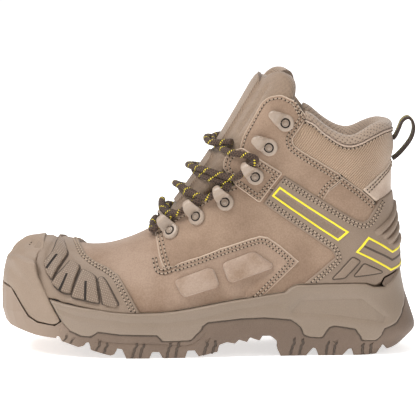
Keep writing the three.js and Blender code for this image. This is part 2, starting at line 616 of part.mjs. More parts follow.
const SIDES = [{ side: -1, word: 'lateral' }, { side: 1, word: 'medial' }];
const bracketSolids = { true: bracketSolid(true), false: bracketSolid(false) };
const rivetHoles = { lateral: [], medial: [] };
const throats = { lateral: [], medial: [] };
const brackets = [];
const holePin = new THREE.CylinderGeometry(HOLE_RADIUS, HOLE_RADIUS, 24, 10);
holePin.rotateX(Math.PI / 2);
const holeSolid = solidOf(holePin);

SIDES.forEach(({ side, word }) => {
  BRACKETS.forEach((bracket, i) => {
    const frame = bracketFrame(bracket, side);
    const place = (solid) => solid.transform(frame.elements);
    const label = `${word}_${i + 1}`;
    const seated = place(bracketSolids[bracket.closed]).subtract(lastSolid(bracket.base + CLEARANCE));
    brackets.push({ name: bracket.closed ? `lace_loop_${label}` : `lace_hook_${label}`, seated });
    addPiece('hardware', `rivet_${label}`, place(rivetSolid(LEATHER - 0.2 + bracket.base)), 'rivet');
    rivetHoles[word].push(place(holeSolid));
    throats[word].push({
      centre: new THREE.Vector3(THROAT_U, 0, THROAT_N).applyMatrix4(frame),
      along: new THREE.Vector3().setFromMatrixColumn(frame, 1),
    });
  });
});

// ---------------------------------------------------------------- upper pieces

addPiece('upper', 'vamp', panel(vampOutline, 0, -LEATHER), 'leather');
const halves = { lateral: lateralHalf, medial: medialHalf };
const quarter = panel(quarterOutline, 0, -LEATHER);
const facing = panel(facingOutline, 0, -LEATHER);
const anklePanel = panel(anklePanelOutline, 0, -LEATHER);
const eyeletTabOutline = gradeSide([
  [17, 150], [26, 154], [55, 136], [38, 113.5], [28, 121], [21, 126], [12, 138], [13, 144.5],
]);
const eyeletTab = panel(eyeletTabOutline, OVERLAY_FACE, CLEARANCE);
SIDES.forEach(({ word }) => {
  const half = halves[word];
  addPiece('upper', `quarter_${word}`, punched(half(quarter), rivetHoles[word].slice(0, 4)), 'leather');
  addPiece('upper', `facing_${word}`, punched(half(facing), rivetHoles[word].slice(3)), 'leather');
  addPiece('upper', `ankle_panel_${word}`, half(anklePanel), 'leather');
  addPiece('upper', `eyelet_tab_${word}`, punched(half(eyeletTab), rivetHoles[word].slice(3, 4)), 'leather');
});
addPiece('upper', 'heel_panel', panel(heelPanelOutline, 0, -LEATHER), 'leather');
addPiece('upper', 'back_tab', panel(backTabOutline, 0, -LEATHER), 'leather');
addPiece('collar', 'collar_textile', panel(collarOutline, 0, -LEATHER), 'textile');

const rimAbove = RIM.map(([x, z]) => [x, z + CLEARANCE]);
const GUARD_REAR = gradeSide([
  [-97, 100], [-97, 79], [-95, 77], [-91, 72], [-84, 68], [-73, 64], [-66, 60], [-50, 33],
]);
const guardOutline = [
  ...gradeSide([[-121, 100]]), ...GUARD_REAR, ...rimAbove.slice(0, 6).reverse(),
  ...BUMPER_EDGE.slice(0, 5).reverse(),
];
addPiece('upper', 'toe_guard', panel(guardOutline, OVERLAY_FACE, CLEARANCE), 'moulded');

const CAGE_LOWER = gradeSide([[41, 113], [61, 99], [92, 77.5], [94, 73], [70, 53]]);
const CAGE_UPPER = gradeSide([
  [134, 119], [126, 115], [118, 101], [114, 99], [109, 101], [90, 112.5], [68, 126.5], [56.5, 134],
]);
const cageOutline = [
  ...CAGE_LOWER, ...rimAbove.slice(-5, -1),
  ...gradeSide([[127, 51], [127, 53.5], [129.6, 57.4], [139.4, 61], [142, 65.2], [160, 65.5], [160, 119]]),
  ...CAGE_UPPER,
];
addPiece('upper', 'heel_cage', panel(cageOutline, OVERLAY_FACE, CLEARANCE), 'moulded');

// ---------------------------------------------------------------- inside

const capOutline = gradeSide([[-170, 36], [-170, 100], [-95, 100], [-95, 24], [-120, 29]]);
addPiece('inside', 'steel_toe_cap', panel(capOutline, UNDER_LEATHER, UNDER_LEATHER - STIFFENER), 'steel');
const edgingOutline = gradeSide([[-95, 100], [-87, 100], [-87, 24], [-95, 24]]);
addPiece('inside', 'toe_cap_edging', panel(edgingOutline, UNDER_LEATHER, UNDER_LEATHER - STIFFENER), 'foam');
const counterOutline = gradeSide([[84, 20], [88, 62], [104, 84], [160, 92], [160, 20]]);
addPiece('inside', 'heel_counter', panel(counterOutline, UNDER_LEATHER, UNDER_LEATHER - STIFFENER), 'board');

const PADDING_LOW = gradeSide([[58, 118], [100, 112], [150, 108]]);
const PADDING_FRONT = gradeSide([[66, 150], [70, 176]]);
const liningOutline = [
  [PAST_TOE, FLOOR], [PAST_TOE, OVER_TOE], [-60 * GRADE_X, OVER_TOE], ...THROAT_EDGE.slice(0, 1),
  ...LACING_EDGE, ...FACING_EDGE, ...gradeSide([[66, 183]]), ...[...PADDING_FRONT].reverse(), ...PADDING_LOW,
  [PAST_HEEL, FLOOR],
];
const footLining = panel(liningOutline, UNDER_STIFFENER, UNDER_STIFFENER - LINING);
addPiece('inside', 'foot_lining', footLining, 'mesh');
const paddingOutline = [
  ...PADDING_FRONT, ...gradeSide([[71, 180]]), ...TOPLINE, ...[...PADDING_LOW].reverse(),
];
addPiece('collar', 'collar_padding', panel(paddingOutline, UNDER_LEATHER, UNDER_PADDING + CLEARANCE), 'foam');
addPiece('collar', 'collar_lining', panel(paddingOutline, UNDER_PADDING, UNDER_PADDING - LINING), 'mesh');

const insideFoot = lastSolid(UNDER_LINING);
function underfootPiece(low, high) {
  return insideFoot.intersect(prism(underfoot(-146 * GRADE_X, 138 * GRADE_X, low, high)));
}
const plateLow = BOARD + 2 * CLEARANCE;
const footbedLow = plateLow + PLATE + CLEARANCE;
addPiece('inside', 'insole_board', underfootPiece(CLEARANCE, CLEARANCE + BOARD), 'board');
addPiece('inside', 'puncture_plate', underfootPiece(plateLow, plateLow + PLATE), 'steel');
addPiece('inside', 'footbed', underfootPiece(footbedLow, footbedLow + FOOTBED), 'mesh');

// ---------------------------------------------------------------- lace

// Where the lace crosses the instep's ridge, from the straight bar at the throat up to the top.
const CROSSINGS = [-37, -27.5, -17.5, -7.5, 6.5].map((x) => x * GRADE_X);
const LACE_ON_TONGUE = TONGUE_FACE + CLEARANCE + LACE_RADIUS + 1.2;
const LACE_OVER_LACE = LACE_ON_TONGUE + LACE_DIAMETER + 0.6;
const THROAT_RUN = 9.8;           // straight lace on each side of a throat's middle
const LACE_END = gradeSide([[19.5, 157]])[0];

function ridgePoint(x, height) {
  const slope = (crestAt(x + 1) - crestAt(x - 1)) / 2;
  const size = Math.hypot(1, slope);
  return new THREE.Vector3(x - (slope / size) * height, 0, crestAt(x) + height / size);
}

// Into a throat from above and out below it, or the other way round.
function throughThroat(word, i, upwards) {
  const { centre, along } = throats[word][i];
  const up = along.clone().multiplyScalar(word === 'lateral' ? -1 : 1);
  const low = centre.clone().addScaledVector(up, -THROAT_RUN);
  const high = centre.clone().addScaledVector(up, THROAT_RUN);
  return upwards ? [low, centre.clone(), high] : [high, centre.clone(), low];
}

// Over the ridge from one side to the other, with a point on each flank.
function overRidge(from, to, crossing, over, flankHeight) {
  const ridge = ridgePoint(CROSSINGS[crossing], over ? LACE_OVER_LACE : LACE_ON_TONGUE);
  const flank = (end) => {
    const x = mix(ridge.x, end.x, 0.5);
    const z = mix(ridge.z, end.z, 0.5) - 1.5;
    const rise = over ? 1.5 : 0;
    return surfacePoint(x, Math.min(z, crestAt(x) - 4), Math.sign(end.y), flankHeight + rise).point;
  };
  return [flank(from), ridge, flank(to)];
}

const laceEnd = (side) => surfacePoint(...LACE_END, side, LACE_RADIUS + 0.6).point;
const TAB_FLANK = OVERLAY_FACE + CLEARANCE + LACE_RADIUS + 0.8;
const LEATHER_FLANK = CLEARANCE + LACE_RADIUS + 1.6;

// Down one zigzag to the bar at the throat, and up the other.
const stops = [
  { point: [laceEnd(-1)] },
  { word: 'medial', i: 3, upwards: false, crossing: 4, over: true },
  { word: 'lateral', i: 2, upwards: false, crossing: 3, over: false },
  { word: 'medial', i: 1, upwards: false, crossing: 2, over: true },
  { word: 'lateral', i: 0, upwards: false, crossing: 1, over: false },
  { word: 'medial', i: 0, upwards: true, crossing: 0, over: false },
  { word: 'lateral', i: 1, upwards: true, crossing: 1, over: true },
  { word: 'medial', i: 2, upwards: true, crossing: 2, over: false },
  { word: 'lateral', i: 3, upwards: true, crossing: 3, over: true },
  { point: [laceEnd(1)], crossing: 4, over: false },
];
const lacePoints = stops.reduce((route, stop) => {
  const next = stop.point ?? throughThroat(stop.word, stop.i, stop.upwards);
  if (route.length === 0) return next;
  const flank = stop.crossing >= 3 ? TAB_FLANK : LEATHER_FLANK;
  return [...route, ...overRidge(route[route.length - 1], next[0], stop.crossing, stop.over, flank), ...next];
}, []);
const LACE_STEPS = 98;
function laceSolid(radius) {
  const round = new THREE.Shape();
  round.absarc(0, 0, radius, 0, Math.PI * 2, false);
  const extrudePath = new THREE.CatmullRomCurve3(lacePoints);
  return solidOf(new THREE.ExtrudeGeometry(round, {
    steps: LACE_STEPS, extrudePath, bevelEnabled: false, curveSegments: 4,
  }));
}
addPiece('lacing', 'lace', laceSolid(LACE_RADIUS), 'lace');

// Whatever the lace lies against leaves it room.
const laceRoom = laceSolid(LACE_RADIUS + CLEARANCE / 2);
brackets.forEach(({ name, seated }) => addPiece('hardware', name, seated.subtract(laceRoom), 'hardware'));

// ---------------------------------------------------------------- tongue

// The tongue flexes across a fold where the last lace crossing holds it to the instep.
const FOLD = gradeSide([[14.5, 167]])[0];
const FOLD_BACK = [FOLD[0] + 26, FOLD[1] - 15];
const FOLD_ROOM = 2.4;
const tongueWings = [
  ...gradeSide([[-58, 100], [-58, 60], [-20, 76], [20, 100], [44, 138]]),
  [FOLD_BACK[0], FOLD_BACK[1] - FOLD_ROOM], [FOLD[0], FOLD[1]], [FOLD[0] - 14, FOLD[1] + 8],
  ...gradeSide([[-30, 150]]),
];
const bulgeLine = LACING_EDGE.map(([x, z]) => [x - 1.2, z + 1.6]);
const tongueBulge = [
  ...gradeSide([[-44, 97]]), ...bulgeLine, ...gradeSide([[21, 148], [22, 156]]), [FOLD[0], FOLD[1]],
  [FOLD[0] - 14, FOLD[1] + 8], ...gradeSide([[-30, 150]]),
];
const wings = panel(tongueWings, UNDER_LINING, UNDER_LINING - TONGUE);
const bulge = panel(tongueBulge, TONGUE_FACE, UNDER_LINING - TONGUE);
addPiece('upper', 'tongue_lower', wings.add(bulge).subtract(laceRoom), 'textile');

const tongueTop = [
  [FOLD[0] - 14, FOLD[1] + 8 + CLEARANCE], [FOLD[0], FOLD[1] + CLEARANCE],
  ...gradeSide([
    [23, 162.4], [26, 166.5], [36.5, 185], [42, 194.8], [50, 197], [60, 197.5], [62.5, 200], [61, 206],
    [55, 212],
    [48, 213.15], [30, 213.15], [0, 190],
  ]),
];
addPiece('upper', 'tongue_upper', panel(tongueTop, TONGUE_FACE, UNDER_LINING - TONGUE + 1.5), 'textile');

// ---------------------------------------------------------------- pull loop

const loopPath = gradeSide([
  [0, 160], [2.2, 165.5], [5, 171.5], [9, 173.6], [12, 171], [13.2, 165.5], [11.5, 158.5], [6, 150.5],
  [0, 144],
]);
const loopRoot = backAt(151 * GRADE_Z) + LOOP_STANDOFF;
const loopCurve = new THREE.CatmullRomCurve3(
  loopPath.map(([x, z]) => new THREE.Vector3(loopRoot + x, 0, z)),
);
const webbing = new THREE.Shape([
  new THREE.Vector2(-WEBBING_WIDTH / 2, -WEBBING_THICKNESS / 2),
  new THREE.Vector2(WEBBING_WIDTH / 2, -WEBBING_THICKNESS / 2),
  new THREE.Vector2(WEBBING_WIDTH / 2, WEBBING_THICKNESS / 2),
  new THREE.Vector2(-WEBBING_WIDTH / 2, WEBBING_THICKNESS / 2),
]);
const loopGeometry = new THREE.ExtrudeGeometry(webbing, {
  steps: 24, extrudePath: loopCurve, bevelEnabled: false,
});
addPiece('collar', 'pull_loop', solidOf(loopGeometry), 'lace');

export default boot;
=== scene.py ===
"""Steel toe work boot: leather, moulded overlays, lacing and sole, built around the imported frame.

Lengths in this file are millimetres until a mesh is made, and metres from there on.
"""

import logging
import math
from dataclasses import dataclass, field, replace
from enum import Enum
from typing import Callable, Iterable, Sequence

import bpy
import numpy as np
from mathutils import Matrix, Vector
from mathutils.geometry import delaunay_2d_cdt


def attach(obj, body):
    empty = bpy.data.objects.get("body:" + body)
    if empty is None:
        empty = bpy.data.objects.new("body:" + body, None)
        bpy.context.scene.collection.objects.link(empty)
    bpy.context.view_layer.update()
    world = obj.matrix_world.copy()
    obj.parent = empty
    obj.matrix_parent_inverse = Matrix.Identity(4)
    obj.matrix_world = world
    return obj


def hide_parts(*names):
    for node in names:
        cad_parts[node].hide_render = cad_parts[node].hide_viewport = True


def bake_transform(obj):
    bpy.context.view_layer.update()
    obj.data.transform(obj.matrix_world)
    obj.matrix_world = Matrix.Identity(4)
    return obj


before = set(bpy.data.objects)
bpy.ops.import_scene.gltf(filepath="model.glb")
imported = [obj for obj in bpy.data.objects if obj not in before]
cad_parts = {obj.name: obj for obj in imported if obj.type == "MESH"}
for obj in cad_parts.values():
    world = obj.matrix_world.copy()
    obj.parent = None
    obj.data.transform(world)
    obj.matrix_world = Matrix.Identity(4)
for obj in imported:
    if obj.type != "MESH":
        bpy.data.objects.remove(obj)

LOG = logging.getLogger("boot")
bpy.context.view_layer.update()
MM = 0.001
TINY = 1e-9
Point = tuple[float, float]
Array = np.ndarray


class Side(Enum):
    """The two sides of the left foot, by the sign of Y that they face."""

    LATERAL = -1
    MEDIAL = 1

    @property
    def word(self) -> str:
        """The side's name as nodes carry it."""
        return self.name.lower()


# ---------------------------------------------------------------- the last


class Profile:
    """Monotone cubic through (a, b) pairs, straight on past both ends."""

    def __init__(self, pairs: Sequence[Point]) -> None:
        """Works out the tangents.

        Args:
            pairs: the points, with rising first numbers.
        """
        self.a = np.array([pair[0] for pair in pairs], float)
        self.b = np.array([pair[1] for pair in pairs], float)
        step = np.diff(self.a)
        slope = np.diff(self.b) / step
        self.tangent = np.zeros(len(self.a))
        self.tangent[0], self.tangent[-1] = slope[0], slope[-1]
        for i in range(1, len(slope)):
            if slope[i - 1] * slope[i] > 0:
                before, after = 2 * step[i] + step[i - 1], step[i] + 2 * step[i - 1]
                self.tangent[i] = (before + after) / (before / slope[i - 1] + after / slope[i])

    def __call__(self, value: Array | float) -> Array:
        """The curve's height at one or many places."""
        value = np.asarray(value, float)
        i = np.clip(np.searchsorted(self.a, value, side="right") - 1, 0, len(self.a) - 2)
        step = self.a[i + 1] - self.a[i]
        t = np.clip((value - self.a[i]) / step, 0, 1)
        rise = t * t * (3 - 2 * t)
        early = t * (1 - t) ** 2 * step * self.tangent[i]
        late = t * t * (t - 1) * step * self.tangent[i + 1]
        inside = self.b[i] * (1 - rise) + self.b[i + 1] * rise + early + late
        inside = np.where(value < self.a[0], self.b[0] + (value - self.a[0]) * self.tangent[0], inside)
        return np.where(value > self.a[-1], self.b[-1] + (value - self.a[-1]) * self.tangent[-1], inside)


def smooth(t: Array | float) -> Array:
    """Eases from 0 at 0 to 1 at 1."""
    t = np.clip(t, 0, 1)
    return t * t * (3 - 2 * t)


def mix(a: Array | float, b: Array | float, t: Array | float) -> Array:
    """From a at t 0 to b at t 1."""
    return a + (b - a) * t


def arch(t: Array | float, power: Array | float) -> Array:
    """A rounded shoulder: 0 at 0, upright there, and 1 at 1."""
    return (1 - (1 - np.clip(t, 0, 1)) ** power) ** (1 / power)


def unit(vectors: Array) -> Array:
    """Vectors made one long."""
    return vectors / np.maximum(np.linalg.norm(vectors, axis=1, keepdims=True), TINY)


def distances(points: Array) -> Array:
    """How far along a polyline each of its points lies."""
    return np.concatenate([[0], np.cumsum(np.linalg.norm(np.diff(points, axis=0), axis=1))])


def walls(count: int, ring: int, closed: bool = False) -> list[list[int]]:
    """The four-sided faces between rings of corners that follow each other.

    Args:
        count: how many rings.
        ring: corners in each ring.
        closed: whether the last ring meets the first.

    Returns:
        The corners of each face.
    """
    return [
        [
            i * ring + j, i * ring + (j + 1) % ring, (i + 1) % count * ring + (j + 1) % ring,
            (i + 1) % count * ring + j,
        ]
        for i in range(count if closed else count - 1)
        for j in range(ring)
    ]


class Last:
    """The foot form that the upper is made on, and the sole block around it."""

    CREST = [
        (-149, 34), (-148.6, 48), (-146, 62), (-141, 72), (-133, 78.5), (-123, 81.3), (-110, 80.6),
        (-97, 78.4), (-86, 77.6), (-74, 78.8), (-62, 82.2), (-50, 87), (-41, 92), (-33, 99.5), (-25, 109),
        (-15, 122), (-5, 136.5), (5, 151.5), (13, 164.5), (25, 185), (37, 206), (49, 227),
    ]
    BACK = [
        (27, 128), (32, 137), (44, 141.5), (58, 142.6), (75, 141.8), (92, 139.3), (108, 136.8),
        (122, 135.5), (137, 135.6), (150, 136.2), (165, 135.6), (178, 133.5),
    ]
    BOARD = [
        (-149, 34), (-120, 25.5), (-90, 20.5), (-60, 19), (-30, 20), (0, 23.5), (40, 29.5), (80, 33),
        (128, 34), (150, 34),
    ]
    PLAN = [
        (-149, 45, 5), (-130, 46, 3.5), (-110, 47.5, 1.5), (-90, 49, 0.3), (-70, 49.5, -0.6),
        (-50, 48.7, -1.7), (-30, 46.5, -2.6), (-10, 43.5, -3.3), (10, 40.7, -3.5), (30, 38.4, -3.2),
        (50, 36.8, -2.6), (70, 35.8, -1.9), (90, 35.4, -1.1), (110, 35.4, -0.6), (150, 35.6, -0.3),
    ]
    SOLE = [
        (0, -146, 138, 2.4, 2.4), (8, -147.5, 147, 3.1, 3.1), (18, -151, 155, 3.6, 4.6),
        (32, -155, 151, 3.64, 4.9), (46, -155, 146.5, 3.1, 4.4), (70, -152, 142.5, 2.4, 3.4),
    ]
    TOE_TOP_X = -123
    SOLE_SECTION_Z = 42

    def __init__(self) -> None:
        """Makes the curves."""
        self.crest = Profile(self.CREST)
        self.back = Profile(self.BACK)
        self.board = Profile(self.BOARD)
        self.toe = Profile([(z, x) for x, z in self.CREST if x <= self.TOE_TOP_X])
        self.plan_half = Profile([(x, half) for x, half, _ in self.PLAN])
        self.plan_middle = Profile([(x, centre) for x, _, centre in self.PLAN])
        self.sole_toe, self.sole_heel, self.sole_lateral, self.sole_medial = (
            Profile([(level[0], level[i]) for level in self.SOLE]) for i in range(1, 5)
        )

    def half(self, x: Array, z: Array, offset: float = 0.0) -> Array:
        """Half width of the foot at points of the side view.

        Args:
            x: distances from the middle of the boot, heel above 0.
            z: heights over the ground.
            offset: how far outside the leather's face.

        Returns:
            The half widths, in millimetres.
        """
        foot = self.plan_half(x) + offset
        shaft = 33.5 + 3.5 * smooth((z - 125) / 40) + offset
        full = mix(foot, np.minimum(shaft, foot + 3), smooth((z - 42) / 62))
        slope = np.where(x < -125, 0, (self.crest(x + 1) - self.crest(x - 1)) / 2)
        from_crest = (self.crest(x) - z) / np.hypot(1, slope) + offset
        radius = 34 + 8 * smooth((x + 125) / 60) - 4 * smooth((x + 30) / 50) + offset
        power = 2.5 - 0.4 * smooth((x + 120) / 50)
        toe_line = np.where(z > 81.2, self.TOE_TOP_X, self.toe(z))
        toe = np.maximum(x - toe_line + offset, 1e-6) / (52 + offset)
        ridge = np.maximum(from_crest, 1e-6) / radius
        both = 1 / np.hypot(1 / toe, 1 / ridge)
        back = (self.back(z) - x + offset) / (37 + offset)
        return full * arch(mix(both, ridge, smooth((x + 105) / 20)), power) * arch(back, 2.1)

    def middle(self, x: Array, z: Array) -> Array:
        """Y of the foot's middle plane."""
        return mix(self.plan_middle(x), -1, smooth((z - 60) / 60))

    def upper(self, offset: float = 0.0) -> Callable[[Array, Array], tuple[Array, Array]]:
        """The upper's wall as a function of the side view.

        Args:
            offset: how far outside the leather's face, in millimetres.

        Returns:
            A function from x and z to the lateral and the medial y.
        """
        def wall(x: Array, z: Array) -> tuple[Array, Array]:
            """Both sides' y."""
            half, middle = self.half(x, z, offset), self.middle(x, z)
            return middle - half, middle + half
        return wall

    def sole(self, inset: float = 0.0) -> Callable[[Array, Array], tuple[Array, Array]]:
        """The sole block's wall as a function of the side view.

        Args:
            inset: how far inside the block's face, in millimetres.

        Returns:
            A function from x and z to the lateral and the medial y.
        """
        section_z = np.float64(self.SOLE_SECTION_Z)
        foot_toe, foot_heel = self.toe(section_z), self.back(section_z)

        def wall(x: Array, z: Array) -> tuple[Array, Array]:
            """Both sides' y."""
            toe, heel = self.sole_toe(z) + inset, self.sole_heel(z) - inset
            t = np.clip((x - toe) / (heel - toe), 0, 1)
            foot_x = mix(foot_toe, foot_heel, t)
            half = self.half(foot_x, np.full_like(foot_x, section_z))
            middle = self.middle(foot_x, np.full_like(foot_x, section_z))
            ends = arch(np.minimum(t, 1 - t) / 0.03, 2)
            return (
                middle - half - (self.sole_lateral(z) - inset) * ends,
                middle + half + (self.sole_medial(z) - inset) * ends,
            )
        return wall


LAST = Last()

# ---------------------------------------------------------------- charts


class Chart:
    """A flat map of a curved surface: every outline and relief is drawn on one."""

    outward = 1.0

    def at(self, uv: Array) -> Array:
        """The surface's points, in millimetres, at many places of the chart."""
        raise NotImplementedError

    def normal(self, uv: Array, reach: float = 1.2) -> Array:
        """The surface's outward normals at many places of the chart."""
        du, dv = np.array([reach, 0.0]), np.array([0.0, reach])
        cross = np.cross(self.at(uv + du) - self.at(uv - du), self.at(uv + dv) - self.at(uv - dv))
        size = np.linalg.norm(cross, axis=1, keepdims=True)
        return cross / np.maximum(size, 1e-9) * self.outward

    def lift(self, uv: Array, height: Array | float) -> Array:
        """Points at a height over the surface."""
        return self.at(uv) + self.normal(uv) * np.reshape(np.asarray(height, float), (-1, 1))

    def find(self, xz: Sequence[Point], side: Side) -> Array:
        """Places on the chart of points of the side view, on one side of the boot."""
        raise NotImplementedError


class SideChart(Chart):
    """One flank of the boot, drawn as it is seen from the side."""

    def __init__(self, wall: Callable[[Array, Array], tuple[Array, Array]], side: Side) -> None:
        """Keeps the wall and the side."""
        self.wall, self.side = wall, side
        self.outward = float(side.value) * -1.0

    def at(self, uv: Array) -> Array:
        """The wall's points at places of the side view."""
        x, z = uv[:, 0], uv[:, 1]
        y = self.wall(x, z)[0 if self.side is Side.LATERAL else 1]
        return np.column_stack([x, y, z])

    def find(self, xz: Sequence[Point], side: Side) -> Array:
        """The same points, because this chart is the side view."""
        return np.array(xz, float)


class RidgeChart(Chart):
    """A surface unrolled from its ridge: u runs along the ridge, and v round the girth, lateral below 0."""

    def __init__(
        self,
        wall: Callable[[Array, Array], tuple[Array, Array]],
        ridge: Array,
        inward: Callable[[Array], Array],
        reach: float,
        both_ends: bool = False,
    ) -> None:
        """Measures the girth at stations along the ridge.

        Args:
            wall: the surface, as a function of the side view.
            ridge: the ridge's points in the side view.
            inward: from the ridge's points to the direction of each section, in the side view.
            reach: how far each section goes, in millimetres.
            both_ends: True when the sections end on a second ridge.
        """
        along = distances(ridge)
        self.step = 1.5
        self.u = np.arange(0, along[-1] + self.step, self.step)
        line = np.column_stack([np.interp(self.u, along, ridge[:, i]) for i in (0, 1)])
        direction = inward(line)
        k = np.linspace(0, 1, 260)
        spread = (1 - np.cos(np.pi * k)) / 2 if both_ends else k ** 2
        x = line[:, :1] + direction[:, :1] * reach * spread
        z = line[:, 1:] + direction[:, 1:] * reach * spread
        self.table = []
        self.girth = []
        sides = self.wall_sides(wall, x, z)
        for y in sides:
            points = np.stack([x, y, z], axis=2)
            run = np.concatenate(
                [
                    np.zeros((len(self.u), 1)),
                    np.cumsum(np.linalg.norm(np.diff(points, axis=1), axis=2), axis=1),
                ], axis=1,
            )
            girth = np.arange(0, run.max() + 1, 1.0)
            self.table.append(
                np.stack(
                    [
                        [np.interp(girth, run[i], points[i, :, axis]) for axis in range(3)]
                        for i in range(len(self.u))
                    ]
                ).transpose(0, 2, 1)
            )
        self.outward = 1.0
        probe = np.array([[self.u[len(self.u) // 2], 6.0]])
        centre = np.array([[line[len(line) // 2][0], 0, line[len(line) // 2][1]]])
        centre[0, [0, 2]] += direction[len(line) // 2] * 25
        if float(np.sum(self.normal(probe) * (self.at(probe) - centre))) < 0:
            self.outward = -1.0

    @staticmethod
    def wall_sides(wall: Callable, x: Array, z: Array) -> tuple[Array, Array]:
        """Both sides of the wall at a grid of places."""
        flat = wall(x.ravel(), z.ravel())
        return flat[0].reshape(x.shape), flat[1].reshape(x.shape)

    def at(self, uv: Array) -> Array:
        """The surface's points, read between the stations of the table.

        Args:
            uv: places of the chart.

        Returns:
            The points, in millimetres.
        """
        result = np.zeros((len(uv), 3))
        for table, chosen in zip(self.table, (uv[:, 1] < 0, uv[:, 1] >= 0)):
            if not chosen.any():
                continue
            i = np.clip(uv[chosen, 0] / self.step, 0, table.shape[0] - 1.001)
            j = np.clip(np.abs(uv[chosen, 1]), 0, table.shape[1] - 1.001)
            a, b = i.astype(int), j.astype(int)
            s, t = (i - a)[:, None], (j - b)[:, None]
            result[chosen] = (
                table[a, b] * (1 - s) * (1 - t) + table[a + 1, b] * s * (1 - t)
                + table[a, b + 1] * (1 - s) * t + table[a + 1, b + 1] * s * t
            )
        return result

    def find(self, xz: Sequence[Point], side: Side) -> Array:
        """Places on the chart of points of the side view: the nearest station, then a few Newton steps.

        Args:
            xz: the points of the side view.
            side: the side of the boot that they are on.

        Returns:
            Their places.
        """
        table = self.table[0 if side is Side.LATERAL else 1]
        seen = table[:, :, [0, 2]]
        found = []
        sign = side.value
        for target in np.array(xz, float):
            gap = np.linalg.norm(seen - target, axis=2)
            gap += np.arange(table.shape[1]) * 0.002
            i, j = np.unravel_index(np.argmin(gap), gap.shape)
            place = np.array([i * self.step, j * 1.0])
            for _ in range(12):
                here = self._seen(place, sign)
                du = (self._seen(place + [0.5, 0], sign) - self._seen(place - [0.5, 0], sign))
                dv = (self._seen(place + [0, 0.5], sign) - self._seen(place - [0, 0.5], sign))
                jacobian = np.column_stack([du, dv])
                move = np.linalg.lstsq(jacobian + np.eye(2) * 1e-6, target - here, rcond=1e-2)[0]
                place = place + np.clip(move, -3, 3)
                place[1] = max(place[1], 0.0)
            found.append([place[0], place[1] * sign])
        return np.array(found)

    def _seen(self, place: Array, sign: int) -> Array:
        """The side view's x and z of a place with girth counted from the ridge."""
        point = self.at(np.array([[place[0], max(place[1], 0.01) * sign]]))[0]
        return point[[0, 2]]


def straight(x: float, z: float) -> Callable[[Array], Array]:
    """Sections that all run one way."""
    return lambda line: np.tile(np.array([x, z]) / math.hypot(x, z), (len(line), 1))


def upper_crest_chart() -> RidgeChart:
    """The forefoot, unrolled from the crest of the instep."""
    x = np.linspace(-136, 84, 170)
    return RidgeChart(LAST.upper(), np.column_stack([x, LAST.crest(x)]), straight(0, -1), 290)


def tongue_chart() -> RidgeChart:
    """The instep, unrolled square to the crest."""
    x = np.linspace(-56, 46, 140)
    return RidgeChart(LAST.upper(), np.column_stack([x, LAST.crest(x)]), straight(0.82, -0.57), 90)


def heel_chart() -> RidgeChart:
    """The back of the boot, unrolled from its back seam, level by level."""
    z = np.linspace(22, 200, 140)
    return RidgeChart(LAST.upper(), np.column_stack([LAST.back(z), z]), straight(-1, 0), 120)


def sole_chart() -> RidgeChart:
    """The sole's wall, unrolled from the heel all the way to the toe."""
    z = np.linspace(0, 70, 60)
    heel = np.column_stack([LAST.sole_heel(z), z])
    return RidgeChart(LAST.sole(), heel, straight(-1, 0), 300, both_ends=True)


# ---------------------------------------------------------------- outlines


def rounded(points: Sequence[Point], radius: float | Sequence[float], steps: int = 5) -> list[Point]:
    """A closed outline with its corners rounded.

    Args:
        points: the outline's corners.
        radius: one radius for all corners, or one for each.
        steps: pieces in each corner.

    Returns:
        The rounded outline.
    """
    count = len(points)
    radii = [radius] * count if isinstance(radius, (int, float)) else list(radius)
    result = []
    for i, corner in enumerate(points):
        here, before, after = (np.array(p, float) for p in (corner, points[i - 1], points[(i + 1) % count]))
        back, forth = before - here, after - here
        sizes = np.linalg.norm(back), np.linalg.norm(forth)
        cut = min(radii[i], sizes[0] * 0.45, sizes[1] * 0.45)
        if cut < 0.05:
            result.append(tuple(here))
            continue
        a, b = here + back / sizes[0] * cut, here + forth / sizes[1] * cut
        for k in range(steps + 1):
            t = k / steps
            result.append(tuple(a * (1 - t) ** 2 + here * 2 * t * (1 - t) + b * t * t))
    return result


def spaced(points: Array, pitch: float, closed: bool) -> Array:
    """A polyline with points no further apart than a pitch, its own corners kept."""
    points = np.array(points, float)
    ends = np.vstack([points, points[:1]]) if closed else points
    result = []
    for a, b in zip(ends[:-1], ends[1:]):
        count = max(1, math.ceil(float(np.linalg.norm(b - a)) / pitch))
        result.extend(a + (b - a) * k / count for k in range(count))
    if not closed:
        result.append(ends[-1])
    return np.array(result)


def even(points: Array, pitch: float) -> Array:
    """Points along an open polyline at one even pitch."""
    along = distances(points)
    count = max(1, round(float(along[-1]) / pitch))
    places = np.linspace(0, along[-1], count + 1)
    return np.column_stack([np.interp(places, along, points[:, i]) for i in range(points.shape[1])])


def edge_distance(places: Array, outline: Array, closed: bool = True) -> Array:
    """Distance from many places to a polyline."""
    ends = np.vstack([outline, outline[:1]]) if closed else outline
    best = np.full(len(places), 1e9)
    for a, b in zip(ends[:-1], ends[1:]):
        run = b - a
        t = np.clip(((places - a) @ run) / max(float(run @ run), 1e-12), 0, 1)
        best = np.minimum(best, np.linalg.norm(places - a - t[:, None] * run, axis=1))
    return best


def within(places: Array, outline: Array) -> Array:
    """Which places lie inside a closed outline."""
    inside = np.zeros(len(places), bool)
    x, y = places[:, 0], places[:, 1]
    for (ax, ay), (bx, by) in zip(outline, np.roll(outline, -1, axis=0)):
        crosses = (ay > y) != (by > y)
        with np.errstate(divide="ignore", invalid="ignore"):
            at = (bx - ax) * (y - ay) / (by - ay) + ax
        inside ^= crosses & (x < at)
    return inside


